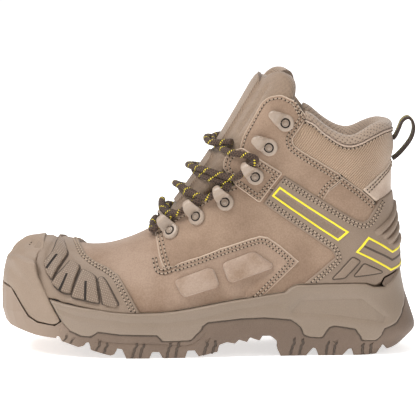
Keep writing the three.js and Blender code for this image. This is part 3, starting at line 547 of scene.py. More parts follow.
def moved_in(outline: Array, distance: float, closed: bool = True) -> Array:
    """A line beside an outline at a distance on its inner side, without the stretches that come too close.

    Args:
        outline: the outline, evenly spaced.
        distance: how far in.
        closed: whether the outline closes.

    Returns:
        The points of the inner line.
    """
    before = np.roll(outline, 1, axis=0)
    after = np.roll(outline, -1, axis=0)
    if not closed:
        before[0], after[-1] = outline[0], outline[-1]
    run = unit(after - before)
    turned = np.column_stack([-run[:, 1], run[:, 0]])
    area = float(
        np.sum(outline[:, 0] * np.roll(outline[:, 1], -1) - outline[:, 1] * np.roll(outline[:, 0], -1))
    )
    inner = outline + turned * math.copysign(distance, area)
    return inner[edge_distance(inner, outline, closed) > distance * 0.93]


# ---------------------------------------------------------------- meshes


def new_object(
    name: str, verts: Array, faces: Iterable[Sequence[int]], smooth_angle: float = 40.0,
) -> bpy.types.Object:
    """A mesh object in metres from points in millimetres.

    Args:
        name: the object's name.
        verts: the points, in millimetres.
        faces: the faces' corners.
        smooth_angle: edges sharper than this many degrees stay sharp.

    Returns:
        The object, linked to the scene.
    """
    mesh = bpy.data.meshes.new(name)
    mesh.from_pydata((np.asarray(verts) * MM).tolist(), [], [list(map(int, f)) for f in faces])
    mesh.validate()
    piece = bpy.data.objects.new(name, mesh)
    bpy.context.scene.collection.objects.link(piece)
    shade(piece, smooth_angle)
    return piece


def select_only(piece: bpy.types.Object) -> None:
    """Deselects everything else, and makes a piece active."""
    for other in bpy.context.selected_objects:
        other.select_set(False)
    piece.select_set(True)
    bpy.context.view_layer.objects.active = piece


def shade(piece: bpy.types.Object, angle: float) -> None:
    """Smooth shading with sharp edges past an angle in degrees."""
    select_only(piece)
    bpy.ops.object.shade_smooth_by_angle(angle=math.radians(angle))


def outward_normals(piece: bpy.types.Object) -> None:
    """Turns a closed piece's faces outwards."""
    select_only(piece)
    bpy.ops.object.mode_set(mode="EDIT")
    bpy.ops.mesh.select_all(action="SELECT")
    bpy.ops.mesh.normals_make_consistent(inside=False)
    bpy.ops.object.mode_set(mode="OBJECT")


def merge_doubles(piece: bpy.types.Object, gap: float) -> None:
    """Merges a piece's points that lie closer than a gap, in metres."""
    select_only(piece)
    bpy.ops.object.mode_set(mode="EDIT")
    bpy.ops.mesh.select_all(action="SELECT")
    bpy.ops.mesh.remove_doubles(threshold=gap)
    bpy.ops.object.mode_set(mode="OBJECT")


def apply_modifier(piece: bpy.types.Object, kind: str, **settings: object) -> None:
    """Adds a modifier of a kind to a piece, sets it and applies it."""
    modifier = piece.modifiers.new(kind.lower(), kind)
    for key, value in settings.items():
        setattr(modifier, key, value)
    select_only(piece)
    bpy.ops.object.modifier_apply(modifier=modifier.name)


def read_points(piece: bpy.types.Object) -> Array:
    """A piece's points, in metres."""
    places = np.zeros(len(piece.data.vertices) * 3, np.float32)
    piece.data.vertices.foreach_get("co", places)
    return places.reshape(-1, 3)


def write_points(piece: bpy.types.Object, places: Array) -> None:
    """Writes a piece's points, in metres."""
    piece.data.vertices.foreach_set("co", places.astype(np.float32).ravel())
    piece.data.update()


def set_attribute(piece: bpy.types.Object, name: str, values: Array) -> None:
    """Writes one number for each vertex."""
    attribute = piece.data.attributes.new(name, "FLOAT", "POINT")
    attribute.data.foreach_set("value", np.asarray(values, np.float32))


def set_uv(piece: bpy.types.Object, uv: Array) -> None:
    """Writes a UV map from one place for each vertex, in millimetres."""
    layer = piece.data.uv_layers.new(name="chart")
    corners = np.zeros(len(piece.data.loops), np.int32)
    piece.data.loops.foreach_get("vertex_index", corners)
    layer.data.foreach_set("uv", np.asarray(uv, np.float32)[corners].ravel())


def join(name: str, pieces: list[bpy.types.Object]) -> bpy.types.Object:
    """Joins pieces into the first one and names it."""
    select_only(pieces[0])
    for piece in pieces[1:]:
        piece.select_set(True)
    if len(pieces) > 1:
        bpy.ops.object.join()
    pieces[0].name = name
    pieces[0].data.name = name
    return pieces[0]


@dataclass
class Relief:
    """Something that stands up from a panel's face, or is pressed into it.

    Fields: line in the chart's places, height in millimetres (below 0 is pressed in), slope width,
    and width for an open line, which makes a groove or a bead instead of a field.
    """

    line: Array
    height: float
    slope: float = 1.2
    width: float = 0.0

    def lift(self, places: Array) -> Array:
        """The height that it adds at many places."""
        if self.width > 0:
            distance = edge_distance(places, self.line, closed=False)
            return self.height * smooth((self.width / 2 + self.slope - distance) / self.slope)
        distance = edge_distance(places, self.line)
        inside = np.where(within(places, self.line), distance, -distance)
        return self.height * smooth((inside + self.slope / 2) / self.slope)

    def guides(self) -> Array:
        """Places that the mesh needs so that it can follow the relief."""
        if self.width > 0:
            lines = []
            fine = spaced(self.line, 1.4, closed=False)
            run = unit(np.gradient(fine, axis=0))
            turned = np.column_stack([-run[:, 1], run[:, 0]])
            for away in (0.0, self.width / 2, self.width / 2 + self.slope):
                lines.extend([fine + turned * away, fine - turned * away] if away else [fine])
            return np.vstack(lines)
        fine = spaced(self.line, 1.4, closed=True)
        return np.vstack(
            [
                fine, moved_in(fine, self.slope / 2), moved_in(fine, -self.slope / 2),
                moved_in(fine, self.slope * 1.1),
            ]
        )


@dataclass
class Panel:
    """A closed piece of sheet on a chart: leather, textile or a moulding.

    Fields: the chart, the outline in the chart's places, the face's height over the chart, the
    height of its back, the radius of its edge, and the reliefs on its face.
    """

    chart: Chart
    outline: Array
    face: float
    back: float
    edge: float = 0.8
    grid: float = 4.0
    pitch: float = 2.0
    reliefs: list[Relief] = field(default_factory=list)
    crown: float = 0.0
    crown_reach: float = 14.0

    def build(self, name: str, smooth_angle: float = 40.0) -> bpy.types.Object:
        """Builds the piece.

        Args:
            name: the object's name.
            smooth_angle: edges sharper than this stay sharp.

        Returns:
            The object, with its chart as its UV map and an "edge" attribute that is 1 along its rim.
        """
        rim = spaced(self.outline, self.pitch, closed=True)
        loops = [
            moved_in(rim, self.edge * share) for share in (0.3, 0.65, 1.0)
        ] + [moved_in(rim, self.edge + 1.3)]
        low, high = rim.min(axis=0), rim.max(axis=0)
        across = np.arange(low[0] + self.grid / 2, high[0], self.grid)
        down = np.arange(low[1] + self.grid / 2, high[1], self.grid * 0.87)
        grid = np.array(
            [(x + (self.grid / 2 if k % 2 else 0), y) for k, y in enumerate(down) for x in across]
        )
        inner = [points for points in loops if len(points)]
        guides = [relief.guides() for relief in self.reliefs]
        taken = np.vstack([rim, *inner, *guides]) if (inner or guides) else rim
        if len(grid):
            grid = grid[within(grid, rim)]
        if len(grid):
            clear = edge_distance(grid, rim) > self.edge + 1.3 + self.grid * 0.4
            for guide in guides:
                gap = np.min(np.linalg.norm(grid[:, None] - guide[None], axis=2), axis=1)
                clear &= gap > min(self.grid * 0.4, 1.0)
            grid = grid[clear]
        extra = np.vstack([*inner, *guides, grid]) if len(grid) else np.vstack([*inner, *guides, rim[:0]])
        extra = extra[within(extra, rim) & (edge_distance(extra, rim) > min(self.edge * 0.25, 0.2))]
        extra = thinned(extra, 0.28)
        places = np.vstack([rim, extra])
        count = len(rim)
        edges = [(i, (i + 1) % count) for i in range(count)]
        made = delaunay_2d_cdt([Vector(p) for p in places], edges, [list(range(count))], 1, 1e-7)
        uv = np.array([list(v) for v in made[0]])
        triangles = np.array([f for f in made[2] if len(f) == 3])
        corners = uv[triangles]
        a, b = corners[:, 1] - corners[:, 0], corners[:, 2] - corners[:, 0]
        turn = a[:, 0] * b[:, 1] - a[:, 1] * b[:, 0]
        keep = (np.abs(turn) > 1e-9) & within(corners.mean(axis=1), rim)
        triangles, turn = triangles[keep], turn[keep]
        flip = (turn > 0) != (self.chart.outward > 0)
        triangles[flip] = triangles[flip][:, ::-1]
        return self._solid(name, uv, triangles, rim, smooth_angle)

    def heights(self, uv: Array, rim: Array) -> tuple[Array, Array]:
        """Face heights and distances from the rim at many places."""
        distance = edge_distance(uv, rim)
        t = np.clip(distance / max(self.edge, 1e-6), 0, 1)
        height = self.face - self.edge * (1 - np.sqrt(np.clip(1 - (1 - t) ** 2, 0, 1)))
        height = height + self.crown * smooth(distance / self.crown_reach)
        for relief in self.reliefs:
            height = height + relief.lift(uv)
        return height, distance

    def _solid(
        self, name: str, uv: Array, triangles: Array, rim: Array, smooth_angle: float,
    ) -> bpy.types.Object:
        """Closes the face with a wall round its rim and a back."""
        height, distance = self.heights(uv, rim)
        points, normals = self.chart.at(uv), self.chart.normal(uv)
        top = points + normals * height[:, None]
        bottom = points + normals * self.back
        count = len(uv)
        ordered = {}
        for a, b, c in triangles:
            for edge in ((a, b), (b, c), (c, a)):
                ordered[edge] = ordered.get(edge, 0) + 1
        border = [edge for edge in ordered if (edge[1], edge[0]) not in ordered]
        faces = triangles.tolist() + (triangles[:, ::-1] + count).tolist()
        faces += [[b, a, a + count, b + count] for a, b in border]
        piece = new_object(name, np.vstack([top, bottom]), faces, smooth_angle)
        set_uv(piece, np.vstack([uv, uv]))
        rimward = np.clip(1 - distance / 1.6, 0, 1)
        set_attribute(piece, "edge", np.concatenate([rimward, np.ones(count)]))
        return piece


def thinned(points: Array, gap: float) -> Array:
    """Points without those that nearly coincide."""
    if not len(points):
        return points
    _, first = np.unique(np.round(points / gap).astype(int), axis=0, return_index=True)
    return points[np.sort(first)]


def band(
    name: str, chart: Chart, path: Array, section: Sequence[Point], closed: bool = False,
    pitch: float = 2.0, smooth_angle: float = 50.0, taper: float = 0.0,
) -> bpy.types.Object:
    """A bar laid along a path on a chart.

    Args:
        name: the object's name.
        chart: the chart.
        path: the path's places.
        section: (across, height) points of the bar's section, in order round it.
        closed: whether the path closes.
        pitch: spacing along the path.
        smooth_angle: edges sharper than this stay sharp.
        taper: length over which an open bar's ends sink to nothing.

    Returns:
        The object, with UV along and round the bar.
    """
    corners = np.array(path, float)
    fine = spaced(corners, pitch, closed)
    count = len(fine)
    before, after = np.roll(fine, 1, axis=0), np.roll(fine, -1, axis=0)
    if not closed:
        before[0], after[-1] = fine[0] * 2 - fine[1], fine[-1] * 2 - fine[-2]
    into, out = fine - before, after - fine
    into /= np.linalg.norm(into, axis=1, keepdims=True)
    out /= np.linalg.norm(out, axis=1, keepdims=True)
    turned = np.column_stack([-(into + out)[:, 1], (into + out)[:, 0]])
    turned = unit(turned)
    cosine = np.maximum(0.45, turned[:, 0] * -into[:, 1] + turned[:, 1] * into[:, 0])
    along = distances(fine)
    sink = np.ones(count)
    if taper and not closed:
        sink = smooth(np.minimum(along, along[-1] - along) / taper) * 0.98 + 0.02
    verts, uv = [], []
    base = min(height for _, height in section)
    for across, height in section:
        places = fine + turned * (across / cosine)[:, None]
        verts.append(chart.lift(places, base + (height - base) * sink))
        uv.append(np.column_stack([along, np.full(count, across)]))
    ring = len(section)
    points = np.stack(verts, axis=1).reshape(-1, 3)
    faces = walls(count, ring, closed)
    if not closed:
        faces += [list(range(ring))[::-1], [(count - 1) * ring + j for j in range(ring)]]
    piece = new_object(name, points, faces, smooth_angle)
    set_uv(piece, np.stack(uv, axis=1).reshape(-1, 2))
    outward_normals(piece)
    return piece


def bar_section(width: float, low: float, high: float, edge: float = 0.4) -> list[Point]:
    """A bar's section with rounded upper corners."""
    half, edge = width / 2, min(edge, width / 2 * 0.9)
    return [
        (-half, low), (-half, high - edge), (-half + edge * 0.3, high - edge * 0.3), (-half + edge, high),
        (half - edge, high), (half - edge * 0.3, high - edge * 0.3), (half, high - edge), (half, low),
    ]


def round_section(width: float, low: float, high: float, steps: int = 9) -> list[Point]:
    """A bar's section with a domed top."""
    dome = [
        (
            -width / 2 * math.cos(math.pi * k / steps),
            low + (high - low) * math.sin(math.pi * k / steps) ** 0.8,
        )
        for k in range(1, steps)
    ]
    return [(-width / 2, low), *dome, (width / 2, low), (0, low - 0.6)]


def tube(name: str, points: Array, radius: float, sides: int = 12) -> bpy.types.Object:
    """A round tube with closed ends; its UV runs along and round it.

    Args:
        name: the object's name.
        points: the tube's middle line, in millimetres.
        radius: the tube's radius.
        sides: corners in each ring.

    Returns:
        The object.
    """
    count = len(points)
    run = np.gradient(points, axis=0)
    run /= np.linalg.norm(run, axis=1, keepdims=True)
    up = np.array([0.0, 0.0, 1.0])
    across = np.cross(run[0], up)
    across /= np.linalg.norm(across)
    rings = []
    for i in range(count):
        across = across - run[i] * float(across @ run[i])
        across /= np.linalg.norm(across)
        over = np.cross(run[i], across)
        turn = np.linspace(0, 2 * math.pi, sides, endpoint=False)[:, None]
        rings.append(points[i] + (np.cos(turn) * across + np.sin(turn) * over) * radius)
    verts = np.vstack([*rings, points[:1], points[-1:]])
    faces = walls(count, sides)
    faces += [[(j + 1) % sides, j, count * sides] for j in range(sides)]
    faces += [
        [(count - 1) * sides + j, (count - 1) * sides + (j + 1) % sides, count * sides + 1]
        for j in range(sides)
    ]
    piece = new_object(name, verts, faces, 80)
    along = distances(points)
    layer = piece.data.uv_layers.new(name="chart")
    for polygon in piece.data.polygons:
        wraps = {piece.data.loops[k].vertex_index % sides for k in polygon.loop_indices} >= {0, sides - 1}
        for k in polygon.loop_indices:
            vertex = piece.data.loops[k].vertex_index
            if vertex >= count * sides:
                layer.data[k].uv = (along[0 if vertex == count * sides else -1], 0.5)
                continue
            turn = vertex % sides
            layer.data[k].uv = (along[vertex // sides], (1.0 if wraps and turn == 0 else turn / sides))
    outward_normals(piece)
    return piece


class Sewing:
    """Rows of stitches: short threads that dive into punched holes."""

    PITCH = 2.9
    LENGTH = 2.2
    THREAD = 0.48
    HOLE = 0.7

    def __init__(self) -> None:
        """Starts with no stitches."""
        self.thread_verts: list[Array] = []
        self.hole_verts: list[Array] = []

    def row(self, chart: Chart, path: Array, height: float) -> None:
        """Sews along a path.

        Args:
            chart: the chart that the path is on.
            path: the places, as a polyline.
            height: the face's height over the chart.
        """
        if len(path) < 2:
            return
        knots = even(path, self.PITCH)
        a, b = knots[:-1], knots[1:]
        middle = (a + b) / 2
        share = self.LENGTH / self.PITCH / 2
        start, stop = chart.lift(
            mix(middle, a, share * 2), height,
        ), chart.lift(mix(middle, b, share * 2), height)
        centre, normal = chart.lift(middle, height), chart.normal(middle)
        run = stop - start
        size = np.linalg.norm(run, axis=1, keepdims=True)
        run = run / np.maximum(size, 1e-9)
        across = np.cross(normal, run)
        for s, r in ((-0.5, 0.35), (-0.28, 0.95), (0.28, 0.95), (0.5, 0.35)):
            rise = self.THREAD * (0.75 if abs(s) < 0.4 else -0.25)
            base = centre + run * size * s + normal * rise
            for k in range(6):
                turn = math.pi * k / 3
                self.thread_verts.append(
                    base + (across * math.cos(turn) + normal * math.sin(turn)) * self.THREAD * r
                )
        knot_points, knot_normals = chart.lift(knots, height), chart.normal(knots)
        sideways = np.cross(knot_normals, np.roll(knot_normals, 1, axis=1))
        sideways = unit(sideways)
        other = np.cross(knot_normals, sideways)
        for k in range(7):
            turn = 2 * math.pi * k / 7
            out = sideways * math.cos(turn) + other * math.sin(turn)
            self.hole_verts.append(knot_points + out * self.HOLE + knot_normals * 0.05)
        self.hole_verts.append(knot_points + knot_normals * 0.16)
        self.hole_verts.append(knot_points - knot_normals * 0.7)

    def build(self, name: str) -> tuple[bpy.types.Object, bpy.types.Object]:
        """Makes the threads and the holes.

        Args:
            name: what the stitches belong to.

        Returns:
            The threads' object and the holes' object.
        """
        threads = self._threads(f"stitches_{name}")
        holes = self._holes(f"stitch_holes_{name}")
        return threads, holes

    def _threads(self, name: str) -> bpy.types.Object:
        """All the threads in one mesh."""
        verts, faces, start = [], [], 0
        for i in range(0, len(self.thread_verts), 24):
            block = np.stack(self.thread_verts[i:i + 24], axis=1)
            for stitch in block:
                verts.append(stitch)
                for ring in range(3):
                    for k in range(6):
                        a, b = start + ring * 6 + k, start + ring * 6 + (k + 1) % 6
                        faces.append((a, b, b + 6, a + 6))
                faces.append(tuple(start + k for k in range(5, -1, -1)))
                faces.append(tuple(start + 18 + k for k in range(6)))
                start += 24
        piece = new_object(name, np.vstack(verts), faces, 80)
        outward_normals(piece)
        return piece

    def _holes(self, name: str) -> bpy.types.Object:
        """All the punched holes in one mesh of flat dark cones, coloured as painted shade."""
        verts, faces, start = [], [], 0
        for i in range(0, len(self.hole_verts), 9):
            block = np.stack(self.hole_verts[i:i + 9], axis=1)
            for hole in block:
                verts.append(hole)
                for k in range(7):
                    a, b = start + k, start + (k + 1) % 7
                    faces.extend([(a, b, start + 7), (b, a, start + 8)])
                start += 9
        piece = new_object(name, np.vstack(verts), faces, 20)
        outward_normals(piece)
        return piece


# ---------------------------------------------------------------- finishes


class Pattern(Enum):
    """What is woven, knitted or moulded into a surface."""

    NONE = "none"
    RIBS = "ribs"
    WEAVE = "weave"
    DOTS = "dots"
    MESH = "mesh"
    BRAID = "braid"


def tone(red: float, green: float, blue: float) -> tuple[float, float, float, float]:
    """A shader's colour from one that is given in steps of 255."""
    def linear(value: float) -> float:
        """One channel, without its display curve."""
        value /= 255
        return value / 12.92 if value <= 0.04045 else ((value + 0.055) / 1.055) ** 2.4
    return linear(red), linear(green), linear(blue), 1.0


class Wiring:
    """A node tree that is being wired."""

    def __init__(self, tree: bpy.types.NodeTree) -> None:
        """Keeps the tree."""
        self.tree = tree

    def add(self, kind: str, inputs: dict | None = None, **settings) -> bpy.types.Node:
        """Adds a node.

        Args:
            kind: the node's type, without its prefix.
            inputs: a socket or a value for each named or numbered input.
            settings: the node's own settings.

        Returns:
            The node.
        """
        node = self.tree.nodes.new(f"ShaderNode{kind}")
        for key, value in settings.items():
            setattr(node, key, value)
        for key, value in (inputs or {}).items():
            if isinstance(value, bpy.types.NodeSocket):
                self.tree.links.new(value, node.inputs[key])
            else:
                node.inputs[key].default_value = value
        return node

    def maths(
        self, operation: str, a: object, b: object = 0.0, clamp: bool = False,
    ) -> bpy.types.NodeSocket:
        """One step of arithmetic."""
        return self.add("Math", {0: a, 1: b}, operation=operation, use_clamp=clamp).outputs[0]

    def noise(
        self, vector: object, scale: object, detail: float = 3.0, rough: float = 0.55,
    ) -> bpy.types.NodeSocket:
        """A noise's factor."""
        inputs = {"Vector": vector, "Scale": scale, "Detail": detail, "Roughness": rough}
        return self.add("TexNoise", inputs).outputs["Fac"]

    def span(
        self, value: object, low: float, high: float, to_low: float = 0.0, to_high: float = 1.0,
    ) -> bpy.types.NodeSocket:
        """A smooth step of a value from one range to another."""
        inputs = {"Value": value, "From Min": low, "From Max": high, "To Min": to_low, "To Max": to_high}
        return self.add("MapRange", inputs, interpolation_type="SMOOTHSTEP").outputs["Result"]

    def blend(self, factor: object, a: object, b: object, mode: str = "MIX") -> bpy.types.NodeSocket:
        """A mix of two colours."""
        node = self.add("Mix", data_type="RGBA", blend_type=mode)
        for key, value in ((0, factor), (6, a), (7, b)):
            if isinstance(value, bpy.types.NodeSocket):
                self.tree.links.new(value, node.inputs[key])
            else:
                node.inputs[key].default_value = value
        return node.outputs[2]


def group(
    name: str, inputs: Sequence[tuple[str, str]], outputs: Sequence[str],
) -> tuple[bpy.types.NodeTree, Wiring, object, object]:
    """Starts a shader node group.

    Args:
        name: the group's name.
        inputs: each input's name and kind, Vector or Float.
        outputs: the names of its outputs, all numbers.

    Returns:
        The group, its wiring, its input node and its output node.
    """
    tree = bpy.data.node_groups.new(name, "ShaderNodeTree")
    for label, kind in inputs:
        tree.interface.new_socket(name=label, in_out="INPUT", socket_type=f"NodeSocket{kind}")
    for label in outputs:
        tree.interface.new_socket(name=label, in_out="OUTPUT", socket_type="NodeSocketFloat")
    return tree, Wiring(tree), tree.nodes.new("NodeGroupInput"), tree.nodes.new("NodeGroupOutput")


def grain_group() -> bpy.types.NodeTree:
    """Fine grain and soft blotches, shared by every finish."""
    tree, wire, start, end = group(
        "grain", [("Vector", "Vector"), ("Blotch", "Float"), ("Grain", "Float")],
        ["Blotches", "Height", "Speckle"],
    )
    vector = start.outputs["Vector"]
    large = wire.noise(vector, start.outputs["Blotch"], 4.0, 0.6)
    fine = wire.noise(vector, start.outputs["Grain"], 3.0, 0.65)
    cells = wire.add("TexVoronoi", {"Vector": vector, "Scale": start.outputs["Grain"]}).outputs["Distance"]
    height = wire.maths("ADD", wire.maths("MULTIPLY", fine, 0.6), wire.maths("MULTIPLY", cells, 0.5))
    tree.links.new(wire.span(large, 0.34, 0.66), end.inputs["Blotches"])
    tree.links.new(height, end.inputs["Height"])
    tree.links.new(wire.span(fine, 0.35, 0.65), end.inputs["Speckle"])
    return tree


def pattern_group(pattern: Pattern) -> bpy.types.NodeTree:
    """A woven, knitted or moulded pattern on a piece's chart.

    Args:
        pattern: which one.

    Returns:
        A group from a place in millimetres to the pattern's height, from 0 to 1, and a mask of its flecks.
    """
    tree, wire, start, end = group(
        pattern.value, [("Vector", "Vector"), ("Pitch", "Float"), ("Turn", "Float")], ["Height", "Fleck"],
    )
    turned = wire.add(
        "VectorRotate", {"Vector": start.outputs["Vector"], "Angle": start.outputs["Turn"]},
        rotation_type="Z_AXIS",
    )
    parts = wire.add("SeparateXYZ", {0: turned.outputs[0]})
    def wave(value: object, share: float = 1.0) -> bpy.types.NodeSocket:
        """A sine along one coordinate, from 0 to 1."""
        angle = wire.maths(
            "DIVIDE", wire.maths("MULTIPLY", value, 2 * math.pi * share), start.outputs["Pitch"],
        )
        sine = wire.maths("SINE", angle)
        return wire.add("Math", {0: sine, 1: 0.5, 2: 0.5}, operation="MULTIPLY_ADD").outputs[0]
    across, along = wave(parts.outputs[0]), wave(parts.outputs[1])
    if pattern is Pattern.RIBS:
        threads = wave(parts.outputs[1], 1.6)
        height = wire.maths(
            "ADD", wire.maths("MULTIPLY", across, 0.75), wire.maths("MULTIPLY", threads, 0.25),
        )
        fleck = across
    elif pattern is Pattern.WEAVE:
        height = wire.maths("MAXIMUM", wire.maths("MULTIPLY", across, wire.maths("SUBTRACT", 1.0, along)),
                            wire.maths("MULTIPLY", along, wire.maths("SUBTRACT", 1.0, across)))
        fleck = height
    elif pattern is Pattern.BRAID:
        one = wire.maths(
            "ADD", parts.outputs[0], wire.maths("MULTIPLY", parts.outputs[1], start.outputs["Pitch"]),
        )
        two = wire.maths(
            "SUBTRACT", parts.outputs[0], wire.maths("MULTIPLY", parts.outputs[1], start.outputs["Pitch"]),
        )
        first, second = wave(one, 5.0), wave(two, 5.0)
        slow, cross = wave(one, 1.0), wave(two, 5.0)
        height = wire.maths(
            "MAXIMUM", wire.maths("MULTIPLY", first, first), wire.maths("MULTIPLY", second, second),
        )
        fleck = wire.maths("MULTIPLY", wire.span(slow, 0.94, 0.97), wire.span(cross, 0.5, 0.65))
    else:
        both = wire.maths("MULTIPLY", across, along)
        height = wire.span(both, 0.25, 0.6) if pattern is Pattern.DOTS else wire.span(both, 0.75, 0.45)
        fleck = height
    tree.links.new(height, end.inputs["Height"])
    tree.links.new(fleck, end.inputs["Fleck"])
    return tree


GROUPS: dict[str, bpy.types.NodeTree] = {}


def shared(name: str, make: Callable[[], bpy.types.NodeTree]) -> bpy.types.NodeTree:
    """A node group that is built once."""
    if name not in GROUPS:
        GROUPS[name] = make()
    return GROUPS[name]


@dataclass(frozen=True)
class Finish:
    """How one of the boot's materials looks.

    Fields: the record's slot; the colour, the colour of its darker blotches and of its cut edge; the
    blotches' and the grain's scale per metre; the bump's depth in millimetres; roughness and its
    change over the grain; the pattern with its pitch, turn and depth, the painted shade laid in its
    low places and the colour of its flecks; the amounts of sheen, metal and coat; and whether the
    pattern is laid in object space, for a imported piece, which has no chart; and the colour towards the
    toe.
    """

    name: str
    slot: str
    colour: tuple
    dark: tuple
    edge: tuple | None = None
    blotch: float = 28.0
    blotch_share: float = 0.8
    grain: float = 900.0
    depth: float = 0.12
    roughness: float = 0.7
    roughness_change: float = 0.12
    pattern: Pattern = Pattern.NONE
    pitch: float = 1.5
    turn: float = 0.0
    pattern_depth: float = 0.4
    hollow_shade: tuple | None = None
    fleck: tuple | None = None
    sheen: float = 0.0
    metallic: float = 0.0
    coat: float = 0.0
    packed: bool = False
    toe: tuple | None = None

    def material(self) -> bpy.types.Material:
        """The finish's material, built when it is first asked for."""
        return bpy.data.materials.get(self.name) or self._built()

    def _built(self) -> bpy.types.Material:
        """Wires the material."""
        material = bpy.data.materials.new(self.name)
        material.use_nodes = True
        wire = Wiring(material.node_tree)
        shader = material.node_tree.nodes["Principled BSDF"]
        place = wire.add("TexCoord")
        grain = wire.add("Group", node_tree=shared("grain", grain_group))
        for key, value in (("Blotch", self.blotch), ("Grain", self.grain)):
            grain.inputs[key].default_value = value
        wire.tree.links.new(place.outputs["Object"], grain.inputs["Vector"])
        share = wire.maths("MULTIPLY", grain.outputs["Blotches"], self.blotch_share)
        colour = wire.blend(share, self.colour, self.dark)
        speckled = wire.blend(
            wire.maths("MULTIPLY", grain.outputs["Speckle"], 0.16), colour, self.dark, "MULTIPLY",
        )
        height = wire.maths("MULTIPLY", grain.outputs["Height"], self.depth * MM)
        if self.pattern is not Pattern.NONE:
            speckled, height = self._patterned(wire, place, speckled, height)
        # Towards the toe the colour is lifted; on the outsole rubber this takes away its painted shade.
        if self.toe:
            forward = wire.add("SeparateXYZ", {0: place.outputs["Object"]}).outputs[0]
            speckled = wire.blend(wire.span(forward, -0.085, -0.125), speckled, self.toe)
        if self.edge:
            rim = wire.add("Attribute", attribute_name="edge").outputs["Fac"]
            speckled = wire.blend(wire.span(rim, 0.35, 1.0, 0.0, 0.85), speckled, self.edge)
        rough = wire.span(grain.outputs["Speckle"], 0, 1, self.roughness - self.roughness_change / 2,
                          self.roughness + self.roughness_change / 2)
        bump = wire.add("Bump", {"Height": height, "Distance": 1.0, "Strength": 1.0})
        for label, socket in (("Base Color", speckled), ("Roughness", rough), ("Normal", bump.outputs[0])):
            wire.tree.links.new(socket, shader.inputs[label])
        shader.inputs["Metallic"].default_value = self.metallic
        shader.inputs["Sheen Weight"].default_value = self.sheen
        shader.inputs["Coat Weight"].default_value = self.coat
        shader.inputs["Coat Roughness"].default_value = 0.35
        material.diffuse_color = self.colour
        return material

    def _patterned(self, wire: Wiring, place: bpy.types.Node, colour: object, height: object) -> tuple:
        """Adds the pattern to the colour and the height."""
        woven = wire.add("Group", node_tree=shared(self.pattern.value, lambda: pattern_group(self.pattern)))
        woven.inputs["Pitch"].default_value = self.pitch
        woven.inputs["Turn"].default_value = self.turn
        if self.packed:
            parts = wire.add("SeparateXYZ", {0: place.outputs["Object"]})
            around = wire.maths("ADD", parts.outputs[1], parts.outputs[2])
            flat = [wire.maths("DIVIDE", value, MM) for value in (parts.outputs[0], around)]
            chart = wire.add("CombineXYZ", {0: flat[0], 1: flat[1]}).outputs[0]
        else:
            chart = wire.add("UVMap", uv_map="chart").outputs[0]
        wire.tree.links.new(chart, woven.inputs["Vector"])
        # Painted shade: the pattern's low places are darkened towards this colour.
        if self.hollow_shade:
            colour = wire.blend(wire.span(woven.outputs["Height"], 0.55, 0.05), colour, self.hollow_shade)
        if self.fleck:
            colour = wire.blend(woven.outputs["Fleck"], colour, self.fleck)
        lift = wire.maths("MULTIPLY", woven.outputs["Height"], self.pattern_depth * MM)
        return colour, wire.maths("ADD", height, lift)


CUT_EDGE = tone(204, 184, 164)
NUBUCK = Finish(
    "nubuck", "leather", tone(153, 128, 107), tone(129, 104, 84), CUT_EDGE, sheen=0.25, roughness=0.85,
    blotch=26, blotch_share=0.75, depth=0.10,
)
NUBUCK_LOW = Finish("nubuck_vamp", "leather", tone(157, 133, 114), tone(135, 109, 88), CUT_EDGE, sheen=0.25,
                    roughness=0.85, blotch=20, blotch_share=0.9, depth=0.10)
NUBUCK_PAD = Finish(
    "nubuck_pad", "leather", tone(166, 144, 127), tone(143, 118, 97), None, sheen=0.25, roughness=0.85,
    blotch=44, blotch_share=1.0, depth=0.12,
)
NUBUCK_PALE = Finish(
    "nubuck_pale", "leather", tone(184, 164, 147), tone(166, 144, 127), CUT_EDGE, sheen=0.2, roughness=0.85,
    blotch=60, depth=0.16,
)
MOULDED = Finish(
    "moulded_overlay", "moulded", tone(139, 120, 103), tone(128, 109, 92), None, roughness=0.62, blotch=16,
    blotch_share=0.6, grain=1800, depth=0.05,
)
BUMPER = Finish("moulded_bumper", "moulded", tone(149, 130, 113), tone(137, 118, 101), None, roughness=0.6,
                blotch=14, blotch_share=0.7, grain=1800, depth=0.04)
DOTTED = Finish("moulded_dotted", "moulded", tone(160, 141, 124), tone(148, 129, 112), None, roughness=0.6,
                pattern=Pattern.DOTS, pitch=1.5, turn=0.35, pattern_depth=0.45, hollow_shade=tone(122, 104, 88))
# Painted shade: a dark moulding colour for the parting line, slot floors, grooves and bands round pads.
RECESS_SHADE = Finish("moulded_recess_shade", "moulded", tone(82, 68, 57), tone(70, 58, 48), None, roughness=0.7)
MIDSOLE = Finish("midsole_foam", "midsole", tone(139, 122, 106), tone(130, 113, 96), None, roughness=0.5,
                 blotch=14, blotch_share=0.6, grain=2200, depth=0.03, coat=0.06)
# Painted shade: the rubber's colour is darkened for the shade on the low sole, and lifted to the bumper's
# tone towards the toe.
RUBBER_SHADED = Finish("outsole_rubber_shaded", "rubber", tone(115, 96, 81), tone(104, 86, 72), None, roughness=0.62,
                blotch=18, blotch_share=0.7, grain=1800, depth=0.05, toe=tone(142, 123, 107))
TEXTILE = Finish(
    "collar_weave", "textile", tone(176, 150, 126), tone(165, 139, 115), None, roughness=0.85, sheen=0.3,
    pattern=Pattern.RIBS, pitch=1.55, turn=0.95, pattern_depth=0.4, hollow_shade=tone(124, 101, 79), depth=0.05,
)
CANVAS = Finish(
    "tongue_canvas", "textile", tone(166, 142, 120), tone(150, 127, 106), None, roughness=0.9, sheen=0.3,
    pattern=Pattern.WEAVE, pitch=1.3, turn=0.4, pattern_depth=0.3, hollow_shade=tone(104, 87, 72), depth=0.05,
)
